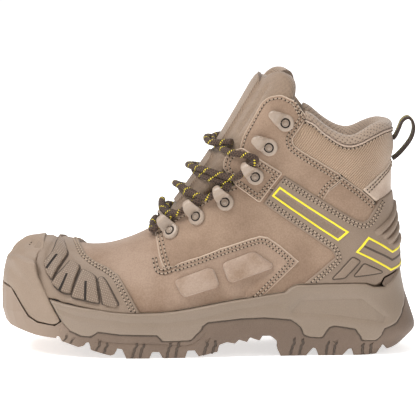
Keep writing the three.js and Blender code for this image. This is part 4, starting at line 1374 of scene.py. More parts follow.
# Painted shadow: the dark beads along the tongue's patches stand for the shadow lines at their edges.
TONGUE_PATCH_SHADOW = Finish(
    "tongue_patch_edge_shadow", "textile", tone(112, 92, 76), tone(98, 80, 66), None, roughness=0.9, sheen=0.2,
)
LINING = Finish(
    "mesh_lining", "mesh", tone(160, 140, 122), tone(148, 128, 110), None, roughness=0.9, sheen=0.3,
    pattern=Pattern.MESH, pitch=2.6, turn=0.6, pattern_depth=0.5, hollow_shade=tone(110, 90, 74), depth=0.05,
)
LINING_INSIDE = replace(LINING, name="mesh_lining_inside", packed=True)
FOOTBED = Finish(
    "footbed_cloth", "mesh", tone(120, 106, 94), tone(100, 88, 78), None, roughness=0.95, sheen=0.2,
)
FOAM = Finish(
    "open_foam", "foam", tone(196, 186, 170), tone(180, 170, 152), None, roughness=0.95, grain=1500,
    depth=0.3,
)
BOARD = Finish(
    "pressed_board", "board", tone(176, 160, 134), tone(158, 142, 118), None, roughness=0.9, grain=700,
)
STEEL = Finish(
    "pressed_steel", "steel", tone(150, 152, 155), tone(128, 130, 134), None, roughness=0.38, metallic=1.0,
    depth=0.02,
)
HARDWARE = Finish(
    "painted_bracket", "hardware", tone(166, 148, 132), tone(156, 138, 122), None, roughness=0.42,
    blotch=60, grain=2500, depth=0.02, coat=0.15,
)
RIVET = Finish(
    "painted_rivet", "rivet", tone(154, 136, 120), tone(142, 125, 109), None, roughness=0.35, blotch=60,
    grain=2500, depth=0.02, coat=0.2,
)
LACE = Finish(
    "lace_braid", "lace", tone(90, 67, 51), tone(74, 54, 41), None, roughness=0.85, sheen=0.05,
    pattern=Pattern.BRAID, pitch=11.0, pattern_depth=0.5, hollow_shade=tone(42, 31, 24), fleck=tone(236, 212, 56),
)
WEBBING = Finish(
    "loop_webbing", "webbing", tone(70, 54, 44), tone(58, 44, 36), None, roughness=0.9, sheen=0.2,
    pattern=Pattern.WEAVE, pitch=1.4, turn=0.78, pattern_depth=0.35, hollow_shade=tone(44, 33, 27),
)
WEBBING_LINE = Finish("loop_line", "webbing", tone(214, 196, 70), tone(190, 172, 60), None, roughness=0.85,
                      pattern=Pattern.WEAVE, pitch=1.2, pattern_depth=0.2, hollow_shade=tone(150, 132, 60))
YELLOW = Finish(
    "yellow_line", "moulded", tone(240, 224, 52), tone(228, 210, 44), None, roughness=0.5, depth=0.02,
)
THREAD = Finish(
    "sewing_thread", "textile", tone(178, 158, 138), tone(160, 141, 122), None, roughness=0.8, grain=2500,
    depth=0.04,
)
# Painted shade: the needle holes' dark colour stands for the shade inside them.
HOLE = Finish("needle_hole_shade", "leather", tone(52, 42, 35), tone(40, 32, 27), None, roughness=0.95)
# Painted shadow: a near-black colour for the slots in the toe pads and the gaps round the rivets.
SHADOW = Finish("dark_gap", "mesh", tone(44, 36, 31), tone(34, 28, 24), None, roughness=0.95)
FLOOR = Finish(
    "pale_floor", "board", tone(252, 252, 252), tone(251, 251, 251), None, roughness=0.9, grain=200,
    depth=0.01,
)


def dress(
    piece: bpy.types.Object, finish: Finish, body: str = "boot", replaces: Sequence[str] = (),
) -> bpy.types.Object:
    """Gives a piece its finish, its body and the nodes it stands for.

    Args:
        piece: the piece.
        finish: its finish.
        body: the body that it rides on; an empty name leaves it free.
        replaces: the CAD nodes that it stands for.

    Returns:
        The piece.
    """
    piece.data.materials.clear()
    piece.data.materials.append(finish.material())
    if body:
        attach(piece, body)
    if replaces:
        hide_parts(*replaces)
    LOG.info("%s: %d faces, %s", piece.name, len(piece.data.polygons), finish.name)
    return piece


# ---------------------------------------------------------------- outlines of the boot's pieces

RIM = [
    (-117, 43), (-105, 40), (-94, 38), (-83, 36), (-72, 34.3), (-61, 33.3), (-48, 33), (-35, 33.3),
    (-24, 34.3), (-13, 36), (-2, 38), (9, 40), (20, 41.8), (31, 43.2), (42, 45), (57, 47), (61, 50.5),
    (66, 52.5), (90, 53), (109, 53.3), (117, 53), (123, 50.5), (131, 50),
]
PARTING = [
    (-102, 20), (-94, 16.5), (-86, 15.8), (-81, 19.5), (-65, 17.5), (-38, 17), (-34, 12.5), (-13, 13),
    (-10, 15.5), (-4, 23), (0, 26), (24, 28.3), (42, 28.8), (61, 27), (65, 24.5), (71, 15.5), (75, 14),
    (84, 13.3), (90, 21), (94, 22), (109, 19.5), (114, 11), (125, 11), (128, 14), (131, 19.5), (140, 23),
    (144, 29), (145, 33),
]
TREAD = [
    (154.5, 12), (147, 7.5), (139, 4), (133, 3), (129.5, 7.5), (125, 0), (108, 0), (106.5, 5), (104.5, 5),
    (99, 0), (82, 0), (80, 5), (78, 6), (72, 0), (54, 0), (51.5, 5), (50.5, 12), (46, 15.5), (40, 15.5),
    (38, 12), (31, 14.5), (29, 11), (23, 13), (20, 10), (14, 11.3), (8.5, 9.5), (7, 4), (-7, 0.8),
    (-9.5, 5.5), (-15, 5.5), (-17, 0), (-33, 0), (-36, 4.8), (-41, 4.8), (-43.5, 0), (-60, 0), (-63.5, 7),
    (-67, 7.5), (-69, 3), (-72, 2), (-86, 6), (-88, 12), (-90, 11.5), (-92, 9), (-96, 8), (-108, 12),
    (-110, 15.5),
]
GUARD_REAR = [(-97, 79), (-95, 77), (-91, 72), (-84, 68), (-73, 64), (-66, 60), (-50, 33.5)]
THROAT_EDGE = [(-40, 90.5), (-38, 84), (-36, 74), (-33, 66)]
SIDE_SEAM = [(-13, 72), (9, 80), (31, 87), (38, 89), (44, 88), (53, 82), (67, 70), (41, 45)]
LACING_EDGE = [(-36, 94), (-28, 98), (-17, 105), (-2, 115), (9, 122), (20, 126), (24, 131), (25, 139)]
FACING_EDGE = [(23, 147), (24, 155), (26, 162), (40, 187.5), (45, 191.5), (54, 193.5)]
TEXTILE_EDGE = [(73, 177), (62, 161), (63, 157), (68, 153), (98, 134.5)]
ANKLE_SEAM = [(98, 130), (90, 124)]
TOPLINE = [
    (77, 177.5), (85, 170), (92, 165.5), (99, 162), (105, 161), (111, 162.5), (119, 167), (127, 170.5),
    (132.5, 170.8),
]
CAGE_LOWER = [(41, 113), (61, 99), (92, 77.5), (94, 73), (70, 53)]
CAGE_UPPER = [
    (134, 119), (126, 115), (118, 101), (114, 99), (109, 101), (90, 112.5), (68, 126.5), (56.5, 134),
]


def both_ways(chart: RidgeChart, points: Sequence[Point]) -> Array:
    """A line over the ridge, from its last point on the medial side to its last on the lateral."""
    lateral = chart.find(points, Side.LATERAL)
    medial = chart.find(points, Side.MEDIAL)
    return np.vstack([medial[::-1], lateral])


@dataclass
class Vamp:
    """The forefoot's leather, with the side panels that reach back over the quarters."""

    face: float = 0.2
    lift: float = 1.7
    emboss: float = 1.5
    thickness: float = 2.0
    hidden: list = field(
        default_factory=lambda: [
            (-106, 78), (-104, 74), (-98, 68), (-90, 61), (-79, 57), (-72, 53), (-60, 33.8),
        ]
    )
    boxes: list = field(default_factory=lambda: [
        [(-25, 57), (0, 66), (4, 65), (8, 55), (7, 52), (-17, 45), (-20, 47)],
        [(10, 69), (31, 77), (35, 77), (48, 68), (47, 65), (18, 55), (15, 56)],
    ])

    def side_line(self) -> list[Point]:
        """The lateral outline, from the throat's ridge round to the hidden front edge."""
        rim = [(x, z + 0.4) for x, z in RIM if -61 < x < 36]
        return [*THROAT_EDGE, *SIDE_SEAM, (38, 44.6), *rim[::-1], *self.hidden[::-1]]

    def build(self, sewing: Sewing) -> bpy.types.Object:
        """Builds the vamp and its stitches."""
        chart = upper_crest_chart()
        sides = {side: chart.find(self.side_line(), side) for side in Side}
        outline = np.vstack([sides[Side.LATERAL], sides[Side.MEDIAL][::-1]])
        reliefs = []
        for side in Side:
            strip = np.vstack([chart.find([(-22, 60), (8, 68), (36, 77), (52, 68), (30, 47)], side)[::-1],
                               chart.find([(-24, 76), (8, 90), (40, 99), (78, 70), (44, 38)], side)])
            reliefs.append(Relief(strip, self.lift, 12))
            self._sew(side, sewing)
        panel = Panel(chart, outline, self.face, -self.thickness, edge=0.9, grid=4.5, reliefs=reliefs)
        for side in Side:
            flat = SideChart(LAST.upper(), side)
            face = self.face + self.lift + self.emboss
            pads = [
                Panel(
                    flat, np.array(rounded(box, 4)), face, 0.2, edge=self.emboss + 0.5, grid=3.0,
                ).build("pad")
                for box in self.boxes
            ]
            dress(join(f"side_pads_{side.word}", pads), NUBUCK_PAD)
        return dress(panel.build("vamp_leather"), NUBUCK_LOW, replaces=["vamp"])

    def _sew(self, side: Side, sewing: Sewing) -> None:
        """The double row inside the side panel's edge, which turns up beside the throat."""
        chart = SideChart(LAST.upper(), side)
        edge = np.array([(-33, 65.5), *SIDE_SEAM, (37, 41)], float)
        line = spaced(rounded_line(edge, 3.0), 1.0, False)
        for away in (2.3, 4.8):
            row = moved_aside(line, -away)
            sewing.row(chart, row[row[:, 0] > -24], self.face + self.lift)
            corner = moved_aside(
                spaced(
                    rounded_line(np.array([(-38.5, 72), (-37, 64.5), (-33, 63.5), (-22, 67.5)]), 4.0), 1.0,
                    False,
                ), 2.5 - away,
            )
            sewing.row(chart, corner, self.face + 0.5)


def rounded_line(points: Array, radius: float) -> Array:
    """An open line with its inner corners rounded."""
    loop = rounded([tuple(p) for p in points], [0.0] + [radius] * (len(points) - 2) + [0.0])
    return np.array(loop)


def keep_inside(line: Array, outline: Array, margin: float) -> Array:
    """The longest stretch of a line that stays inside an outline."""
    good = within(line, outline) & (edge_distance(line, outline) > margin)
    best, start = (0, 0), None
    for i, ok in enumerate([*good, False]):
        if ok and start is None:
            start = i
        if not ok and start is not None:
            if i - start > best[1] - best[0]:
                best = (start, i)
            start = None
    return line[best[0]:best[1]]


@dataclass
class Flank:
    """One flank's leather: quarter, facing, ankle panel and the tab at the bend of the lacing."""

    side: Side
    quarter_face: float = 0.9
    facing_face: float = 1.2
    tab_face: float = 2.7
    thickness: float = 2.0
    quarter_line: list = field(
        default_factory=lambda: [
            *THROAT_EDGE, (-20, 66), (9, 75), (33, 83), (42, 82), (60, 70), (36, 47), (36, 44.8),
            (42, 45.4), (57, 47.4), (61, 50.9), (66, 52.9), (73, 53.2), (97, 74), (96, 79), (68, 107),
            (51, 121), (41, 125), (28, 128), (22, 129.5), *LACING_EDGE[5::-1],
        ]
    )
    facing_line: list = field(
        default_factory=lambda: [
            *LACING_EDGE[5:], *FACING_EDGE, (64, 189), *TEXTILE_EDGE, *ANKLE_SEAM, (84, 113), (60, 122),
            (44, 124), (30, 122),
        ]
    )
    ankle_line: list = field(
        default_factory=lambda: [
            (98, 133.5), (114, 122), (123, 113.8), (126, 103), (116, 94), (105, 92), (84, 106), (82.5, 116),
            (90, 123.4), (98, 129.6),
        ]
    )
    tab_line: list = field(default_factory=lambda: [
        (17, 150), (26, 154), (55, 136), (38, 113.5), (28, 121), (21, 126), (12, 138), (13, 144.5),
    ])

    def build(self, sewing: Sewing) -> None:
        """Builds the four pieces and their stitches."""
        chart = SideChart(LAST.upper(), self.side)
        word = self.side.word
        pieces = [
            ("quarter", rounded(self.quarter_line, 2.0), self.quarter_face, NUBUCK, 3.2),
            ("facing", rounded(self.facing_line, 2.5), self.facing_face, NUBUCK, 3.5),
            ("ankle_panel", rounded(self.ankle_line, 3.0), self.quarter_face, NUBUCK, 4.0),
            ("eyelet_tab", rounded(self.tab_line, 2.0), self.tab_face, NUBUCK, 3.5),
        ]
        for name, line, face, finish, grid in pieces:
            outline = np.array(line)
            panel = Panel(chart, outline, face, -self.thickness if name != "eyelet_tab" else 0.6, 0.8, grid)
            dress(panel.build(f"{name}_{word}_leather"), finish, replaces=[f"{name}_{word}"])
        self.sew(chart, sewing)

    def sew(self, chart: SideChart, sewing: Sewing) -> None:
        """The rows of stitches."""
        lines = [
            (THROAT_EDGE, (2.2, 4.8), 1, self.quarter_face),
            ([(-36, 94), *LACING_EDGE[1:6]], (2.4,), -1, self.quarter_face),
            (
                [(24, 155), (26, 162), (40, 187.5), (45, 191.5), (54, 193.5), (64, 189), (73, 177)], (2.4,),
                -1, self.facing_face,
            ),
            (
                [(66, 190), (73, 177), (62, 161), (63, 157), (68, 153), (98, 134.5)], (2.2, 4.7), -1,
                self.facing_face,
            ), ([(99, 133.5), (114, 122), (124, 113)], (2.2, 4.7), -1, self.quarter_face),
            ([(98, 130), (90, 124), (83, 113)], (2.0, 4.6), -1, self.facing_face),
        ]
        for points, rows, turn, face in lines:
            line = spaced(rounded_line(np.array(points, float), 3.0), 1.0, False)
            for away in rows:
                sewing.row(chart, moved_aside(line, away * turn), face)
        tab = spaced(np.array(rounded(self.tab_line, 2.0)), 1.0, True)
        for away in (2.0, 4.4):
            loop = moved_in(tab, away)
            sewing.row(chart, np.vstack([loop, loop[:1]]), self.tab_face)


def moved_aside(line: Array, distance: float) -> Array:
    """An open line moved sideways; below 0 it moves to the right of its way."""
    run = unit(np.gradient(line, axis=0))
    moved = line + np.column_stack([-run[:, 1], run[:, 0]]) * distance
    return moved[edge_distance(moved, line, closed=False) > abs(distance) * 0.93]


@dataclass
class ToeGuard:
    """The moulded guard over the steel cap, with its dotted pads, and the bumper round the toe."""

    face: float = 2.6
    bumper_gap: float = 0.02
    bumper_voxel: float = 1.1
    bumper_eases: int = 34
    sunk: float = 1.3
    pad_height: float = 3.6
    pads: list = field(
        default_factory=lambda: [
            (
                [
                    (-112.5, 81), (-107.8, 80), (-106.6, 77.5), (-104.5, 73), (-115, 56.5), (-119, 61),
                    (-121, 67.5), (-115.5, 73.5), (-113.8, 77),
                ], [(-112, 72), (-118.6, 63.5)],
            ), ([(-102, 69), (-95, 65), (-101, 47), (-109, 49), (-115, 54)], [(-104, 60), (-109, 49)]),
            ([(-93, 63), (-86, 60), (-83, 58), (-80, 41), (-90, 43), (-100, 45)], [(-90, 55), (-90, 43)]),
            ([(-81, 57), (-78, 58), (-75, 55), (-66, 40), (-68, 38), (-77, 40)], []),
        ]
    )
    guard_front: list = field(default_factory=lambda: [
        (-127, 79), (-130, 74), (-131, 68), (-129, 60), (-125, 52), (-120, 44.5), (-117, 43.4),
    ])

    def build(self, sewing: Sewing) -> None:
        """Builds the guard, its pads and the bumper."""
        chart = upper_crest_chart()
        low = [(x, z + 0.4) for x, z in RIM if -113 < x < -51]
        line = [*GUARD_REAR, *low[::-1], *self.guard_front[::-1]]
        sides = {side: chart.find(line, side) for side in Side}
        outline = np.vstack([sides[Side.LATERAL], sides[Side.MEDIAL][::-1]])
        reliefs = []
        for side in Side:
            field_line = [
                (-114, 82), (-106, 77), (-102, 73), (-92, 66.5), (-80, 61.5), (-72, 57), (-62, 38.5),
                (-85, 40), (-104, 44), (-113, 50), (-118, 58), (-120.5, 66), (-120, 75),
            ]
            reliefs.append(Relief(chart.find(rounded(field_line, 3), side), -self.sunk, 2.0))
            rear = chart.find(GUARD_REAR, side)
            for away in (2.3, 4.7):
                row = moved_aside(spaced(rounded_line(rear, 3.0), 1.0, False), away * side.value)
                sewing.row(chart, keep_inside(row, outline, 1.2), self.face)
        panel = Panel(chart, outline, self.face, 0.3, edge=1.0, grid=4.0, reliefs=reliefs)
        dress(panel.build("toe_guard_shell"), MOULDED, replaces=["toe_guard"])
        for side in Side:
            self._pads(chart, side)
        self._bumper()

    def _pads(self, chart: RidgeChart, side: Side) -> None:
        """Dotted pads of one side, ringed by painted shade, with painted shadow strips as slots."""
        pads, feet, slots = [], [], []
        for points, slot in self.pads:
            outline = chart.find(rounded(points, 1.5, 4), side)
            pads.append(
                Panel(chart, outline, self.pad_height, 1.0, edge=0.9, grid=2.5, pitch=1.5).build("pad")
            )
            # A band of painted shade round the pad's foot.
            feet.append(
                band("pad_foot", chart, outline, bar_section(2.4, 0.9, 1.62, 0.3), closed=True, pitch=1.5)
            )
            # A raised dark strip of painted shadow stands for the slot.
            if slot:
                slots.append(
                    band(
                        "slot", chart, chart.find(slot, side),
                        bar_section(1.9, 1.0, self.pad_height + 0.12, 0.3), pitch=1.5,
                    )
                )
        dress(join(f"toe_pads_{side.word}", pads), DOTTED)
        dress(join(f"toe_pad_feet_{side.word}", feet), RECESS_SHADE)
        dress(join(f"toe_pad_slots_{side.word}", slots), SHADOW)

    def _bumper(self) -> None:
        """The dome round the toe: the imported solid, remeshed fine, with its edges eased."""
        dome = bpy.data.objects.new("toe_bumper_dome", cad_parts["toe_bumper"].data.copy())
        bpy.context.scene.collection.objects.link(dome)
        dome.data.name = dome.name
        merge_doubles(dome, self.bumper_gap * MM)
        apply_modifier(dome, "REMESH", mode="VOXEL", voxel_size=self.bumper_voxel * MM)
        apply_modifier(dome, "SMOOTH", factor=0.5, iterations=self.bumper_eases)
        self._round_over(dome)
        shade(dome, 60)
        dress(dome, BUMPER, replaces=["toe_bumper"])

    def _round_over(self, dome: bpy.types.Object) -> None:
        """Draws the dome's outline in the side view out or in to a rounded one.

        Args:
            dome: the dome.
        """
        centre, size, power, steps = np.array([-125.0, 45.0]), np.array([30.0, 40.5]), 2.28, 24
        places = read_points(dome) / MM
        way = np.maximum((places[:, [0, 2]] - centre) * np.array([-1.0, 1.0]) / size, 0)
        reach = (way ** power).sum(axis=1) ** (1 / power)
        turn = np.arctan2(way[:, 1], way[:, 0]) / (math.pi / 2) * (steps - 1)
        furthest = np.full(steps, 1e-6)
        np.maximum.at(furthest, np.clip(np.round(turn).astype(int), 0, steps - 1), reach)
        furthest = np.convolve(np.pad(furthest, 1, mode="edge"), [0.25, 0.5, 0.25], mode="valid")
        scale = 1 + (1 / np.interp(turn, np.arange(steps), furthest) - 1) * smooth(turn / 9.0)
        moved = centre + (places[:, [0, 2]] - centre) * np.where(way > 0, scale[:, None], 1.0)
        places[:, [0, 2]] = moved
        write_points(dome, places * MM)


@dataclass
class HeelCage:
    """The moulded cage that holds the heel, with its lines, frames, grooves and ribs."""

    face: float = 2.6
    frame_width: float = 1.5
    frames: list = field(default_factory=lambda: [[(53, 125), (103, 92), (96, 86), (48, 119)]])

    def build(self, sewing: Sewing) -> None:
        """Builds the cage, its frames and its ribs."""
        chart = heel_chart()
        low = [
            (66, 53.2), (90, 53.5), (109, 53.8), (117, 53.5), (123, 51.4), (127, 53.5), (129.6, 57.4),
            (138.5, 61),
        ]
        line = [*CAGE_UPPER, *CAGE_LOWER, *low]
        sides = {side: chart.find(line, side) for side in Side}
        outline = np.vstack([sides[Side.LATERAL], sides[Side.MEDIAL][::-1]])
        reliefs = []
        for side in Side:
            inner = chart.find(rounded([(54, 121.5), (100, 91.5), (96, 88.5), (50, 118.5)], 1.5), side)
            reliefs.append(Relief(inner, -1.0, 1.2))
            self._sew(chart, side, sewing, outline)
        panel = Panel(chart, outline, self.face, 0.3, edge=1.1, grid=3.8, reliefs=reliefs)
        dress(panel.build("heel_cage_shell"), MOULDED, replaces=["heel_cage"])
        for side in Side:
            pads, feet = [], []
            for shape in ([(107, 73), (112, 70), (101, 58), (92, 57)], [(115, 68), (128, 61), (108, 59)]):
                edge = chart.find(rounded(shape, 1.5, 4), side)
                pads.append(
                    Panel(chart, edge, self.face + 1.3, 1.0, edge=1.0, grid=2.5, pitch=1.5).build("pad")
                )
                # A band of painted shade round the pad.
                feet.append(
                    band(
                        "foot", chart, edge, bar_section(1.9, self.face - 0.6, self.face + 0.1, 0.1),
                        closed=True, pitch=1.5,
                    )
                )
            dress(join(f"heel_cage_pads_{side.word}", pads), MOULDED)
            dress(join(f"heel_cage_pad_feet_{side.word}", feet), RECESS_SHADE)
        self._frames(chart)
        self._ribs(chart)

    def _sew(self, chart: RidgeChart, side: Side, sewing: Sewing, outline: Array) -> None:
        """Double rows along the cage's long edges."""
        for points, turn in ((CAGE_LOWER, 1), (CAGE_UPPER[1:], 1)):
            line = spaced(rounded_line(chart.find(points, side), 3.0), 1.0, False)
            for away in (2.3, 4.7):
                for way in (1, -1):
                    row = moved_aside(line, away * way)
                    inside = keep_inside(row, outline, 1.4)
                    if len(inside) > len(row) * 0.5:
                        sewing.row(chart, inside, self.face)

    def _frames(self, chart: RidgeChart) -> None:
        """The yellow outlines."""
        section = bar_section(self.frame_width, self.face - 0.3, self.face + 0.45, 0.25)
        lines = []
        for side in Side:
            for corners in self.frames:
                lines.append(band("frame", chart, chart.find(corners, side), section, closed=True))
        upper = both_ways(chart, [(135, 75), (118, 87)])
        lower = both_ways(chart, [(134, 62), (110, 77)])
        middle_high, middle_low = chart.find(
            [(140, 79)], Side.LATERAL,
        )[0], chart.find([(141, 66)], Side.LATERAL)[0]
        middle_high[1] = middle_low[1] = 0.0
        ring = np.vstack(
            [upper[:2], [middle_high], upper[2:], lower[::-1][:2], [middle_low], lower[::-1][2:]]
        )
        lines.append(band("frame", chart, ring, section, closed=True))
        dress(join("heel_cage_lines", lines), YELLOW)
        # Painted shade: the groove across the back is a dark strip laid just proud of the face.
        groove = both_ways(chart, [(135, 69), (115, 81)])
        middle = chart.find([(141, 73)], Side.LATERAL)[0]
        middle[1] = 0.0
        path = np.vstack([groove[:2], [middle], groove[2:]])
        dress(
            band("heel_cage_groove_shade", chart, path, bar_section(1.6, self.face - 0.6, self.face + 0.12, 0.1)),
            RECESS_SHADE,
        )

    def _ribs(self, chart: RidgeChart) -> None:
        """The slanted ribs over the heel, and the fine ribbing in the long frame."""
        ribs = []
        for (x, z), top in zip(((122, 89), (127, 86), (131, 82), (135, 78)), (109, 101, 93, 84)):
            ends = both_ways(chart, [(x, z)])
            middle = np.array([[chart.find([(138, top)], Side.LATERAL)[0][0], 0.0]])
            path = np.vstack([ends[:1], middle, ends[1:]])
            ribs.append(
                band("rib", chart, path, bar_section(4.4, self.face - 0.6, self.face + 1.9, 1.4), taper=5.0)
            )
        for side in Side:
            start, stop = np.array([56.0, 119.5]), np.array([97.0, 92.0])
            for k in range(15):
                place = mix(start, stop, (k + 0.5) / 15)
                tips = [tuple(place + np.array([0.85, 1.9])), tuple(place - np.array([0.85, 1.9]))]
                ribs.append(
                    band(
                        "rib", chart, chart.find(tips, side),
                        bar_section(1.0, self.face - 1.4, self.face - 0.45, 0.3), pitch=1.2,
                    )
                )
        dress(join("heel_cage_ribs", ribs), MOULDED)


@dataclass
class SoleBlock:
    """The midsole's wall and the outsole's wall with its lugs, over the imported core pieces."""

    proud: float = 0.5
    depth: float = 3.0
    slot_depth: float = 2.2
    recess: list = field(
        default_factory=lambda: [
            (61, 33), (69, 42), (90, 42), (114, 43), (132, 28), (131, 24), (98, 30), (63, 33),
        ]
    )
    slots: list = field(
        default_factory=lambda: [
            [(-104.3, 16.5), (-106.6, 12.4)], [(-99.8, 13.5), (-101.4, 10.6)], [(-79.5, 13), (-82, 6)],
            [(-74.3, 11.8), (-76.8, 4)], [(-52.5, 11.5), (-55.9, 0.5)], [(-47.3, 10.8), (-50.3, 0.5)],
            [(-27.8, 11.5), (-30.5, 0.5)], [(-21.8, 11.5), (-24.2, 0.5)], [(-0.8, 11.5), (-3, 1.8)],
            [(5.3, 12.5), (3.2, 2.9)], [(63.8, 13), (60.8, 0.5)], [(70.1, 12.3), (67.5, 0.5)],
            [(89.3, 10.5), (87.4, 0.5)], [(95.3, 9.8), (93, 0.5)], [(115, 8.4), (114.4, 0.5)],
            [(121.1, 8.4), (120.4, 0.5)],
        ]
    )

    def build(self) -> None:
        """Builds the walls of both sides."""
        chart = sole_chart()
        for side in Side:
            self._midsole(chart, side)
            self._outsole(chart, side)
            self._dark(chart, side)
        dress(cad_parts["midsole"], MIDSOLE, body="")
        dress(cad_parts["outsole"], RUBBER_SHADED, body="")

    def _dark(self, chart: RidgeChart, side: Side) -> None:
        """Painted shade: the dark parting line under the midsole, and the dark floors of the slots in the
        lugs.
        """
        section = bar_section(0.9, -0.6, self.proud + 0.12, 0.1)
        lines = [band("parting", chart, chart.find(PARTING, side), section)]
        for slot in self.slots:
            lines.append(
                band("slot", chart, chart.find(slot, side), bar_section(1.25, -1.0, self.proud + 0.05, 0.1))
            )
        dress(join(f"sole_lines_{side.word}", lines), RECESS_SHADE)

    def _midsole(self, chart: RidgeChart, side: Side) -> None:
        """One side's midsole wall."""
        line = [
            *RIM[:-1], (131, 50.5), (140, 59.5), (142.5, 64), (146.2, 46), (146.5, 36), *PARTING[::-1],
            (-107, 26), (-112, 34),
        ]
        line = [(x, z + (0.45 if 2 < i < len(RIM) - 1 else 0)) for i, (x, z) in enumerate(line)]
        outline = chart.find(line, side)
        reliefs = [Relief(chart.find(rounded(self.recess, 2.0), side), -1.7, 1.8)]
        fold = chart.find(
            [(-110, 36), (-95, 31.5), (-60, 27), (-30, 26.5), (-8, 29), (20, 35.5), (52, 40)], side,
        )
        reliefs.append(Relief(fold, -0.45, 2.2, 0.6))
        panel = Panel(chart, outline, self.proud + 0.5, -self.depth, edge=2.0, grid=4.0, reliefs=reliefs)
        dress(panel.build(f"midsole_wall_{side.word}"), MIDSOLE)

    def _outsole(self, chart: RidgeChart, side: Side) -> None:
        """One side's outsole wall and lugs, with the slots in them."""
        heel = [
            (145, 33.0), (146.5, 36), (146.2, 46), (142.5, 64), (149, 62), (151, 40), (153, 26),
            (154.6, 18),
        ]
        line = [*PARTING, *heel, *TREAD, (-110, 23.5), (-107, 26)]
        outline = chart.find(line, side)
        rim_line = np.array(rounded([tuple(p) for p in outline], 0.9, 3))
        reliefs = [Relief(chart.find(slot, side), -self.slot_depth, 0.35, 1.1) for slot in self.slots]
        step = chart.find([(-80, 13), (-66, 11.5), (-38, 11), (-16, 9.5), (-11, 11), (-2, 19)], side)
        reliefs.append(Relief(step, -0.5, 1.0, 0.5))
        panel = Panel(chart, rim_line, self.proud, -self.depth, edge=0.7, grid=4.0, reliefs=reliefs)
        dress(panel.build(f"outsole_wall_{side.word}"), RUBBER_SHADED)


@dataclass
class Collar:
    """The woven collar, its piped seam, the padded roll over the top and the tab at the back."""

    face: float = 0.7
    crown: float = 1.6
    roll: list = field(
        default_factory=lambda: [
            (4.6, 0.6), (4.4, 1.7), (2.6, 2.5), (0.6, 2.3), (-1.3, 1.0), (-2.3, -1.4), (-2.4, -4.4),
            (-1.4, -7.4), (1.2, -10.0), (5.0, -11.6), (11.0, -12.6), (20.0, -12.9), (30.0, -12.2),
            (40.0, -11.0), (47.0, -10.0), (49.0, -8.6), (46.0, -7.4), (32.0, -6.6), (18.0, -6.0),
            (9.0, -4.6), (5.6, -2.6),
        ]
    )

    def build(self, sewing: Sewing) -> None:
        """Builds the collar's pieces."""
        chart = heel_chart()
        line = [*TOPLINE[::-1][1:], *TEXTILE_EDGE, (114, 121.5), (123, 131), (127.5, 134), (135, 141.5)]
        shift = [(x, z - 3.0) if i < len(TOPLINE) - 1 else (x, z) for i, (x, z) in enumerate(line)]
        sides = {side: chart.find(shift, side) for side in Side}
        outline = np.vstack([sides[Side.LATERAL], sides[Side.MEDIAL][::-1]])
        panel = Panel(
            chart, outline, self.face, -2.0, edge=0.8, grid=4.0, crown=self.crown, crown_reach=11.0,
        )
        collar = dress(panel.build("collar_outer"), TEXTILE, replaces=["collar_textile"])
        self._back_tab(chart, sewing)
        self._roll(chart)

    def _back_tab(self, chart: RidgeChart, sewing: Sewing) -> None:
        """The pale leather tab at the back of the heel."""
        line = [(135, 142.5), (127, 134.5), (114, 123), (124, 113.8), (133, 118), (137, 118)]
        sides = {side: chart.find(line, side) for side in Side}
        outline = np.vstack([sides[Side.LATERAL], sides[Side.MEDIAL][::-1]])
        panel = Panel(chart, outline, 1.5, -2.0, edge=0.8, grid=3.5)
        dress(panel.build("back_tab_leather"), NUBUCK_PALE, replaces=["back_tab"])
        top = both_ways(chart, [(135, 142.5), (127, 134.5), (116, 124.5)])
        for away in (2.2, 4.5):
            row = moved_aside(spaced(rounded_line(top, 4.0), 1.0, False), away)
            inside = keep_inside(row, outline, 1.2)
            if len(inside) < len(row) * 0.4:
                inside = keep_inside(
                    moved_aside(spaced(rounded_line(top, 4.0), 1.0, False), -away), outline, 1.2,
                )
            sewing.row(chart, inside, 1.5)

    def _roll(self, chart: RidgeChart) -> None:
        """The padded roll, drawn as one section carried round the opening."""
        front = [(70.5, 180.2), *TOPLINE]
        path = even(spaced(rounded_line(both_ways(chart, front[::-1]), 8.0), 1.0, False), 2.6)
        rings, charts = [], []
        low_z = np.interp(path[:, 1], [-80, -40, 0, 40, 80], [118, 112, 108, 112, 118])
        for place, low in zip(path, low_z):
            height = float(chart.at(place[None])[0, 2]) - low
            share = height / 52.0
            down = np.array([d if d < 8 else 8 + (d - 8) * share for d, _ in self.roll])
            places = np.column_stack([place[0] - down, np.full(len(down), place[1])])
            offsets = np.array([offset for _, offset in self.roll])
            rings.append(chart.lift(places, offsets))
            charts.append(distances(np.column_stack([down, offsets])))
        count, ring = len(rings), len(self.roll)
        along = distances(path)
        uv = np.vstack([np.column_stack([run, np.full(ring, s)]) for run, s in zip(charts, along)])
        faces = walls(count, ring)
        faces += [list(range(ring))[::-1], [(count - 1) * ring + j for j in range(ring)]]
        piece = new_object("collar_roll", np.vstack(rings), faces, 60)
        set_uv(piece, uv)
        outward_normals(piece)
        apply_modifier(piece, "SUBSURF", levels=1, render_levels=1)
        dress(piece, LINING, replaces=["collar_lining", "collar_padding"])
        seam = np.column_stack([path[:, 0] - 5.4, path[:, 1]])
        dress(band("collar_piping", chart, seam, round_section(1.5, 1.2, 2.9), pitch=2.6), NUBUCK_PALE)
        stitches = Sewing()
        stitches.row(chart, np.column_stack([path[:, 0] - 7.2, path[:, 1]]), self.face + 1.0)
        threads, holes = stitches.build("collar")
        dress(threads, THREAD)
        dress(holes, HOLE)


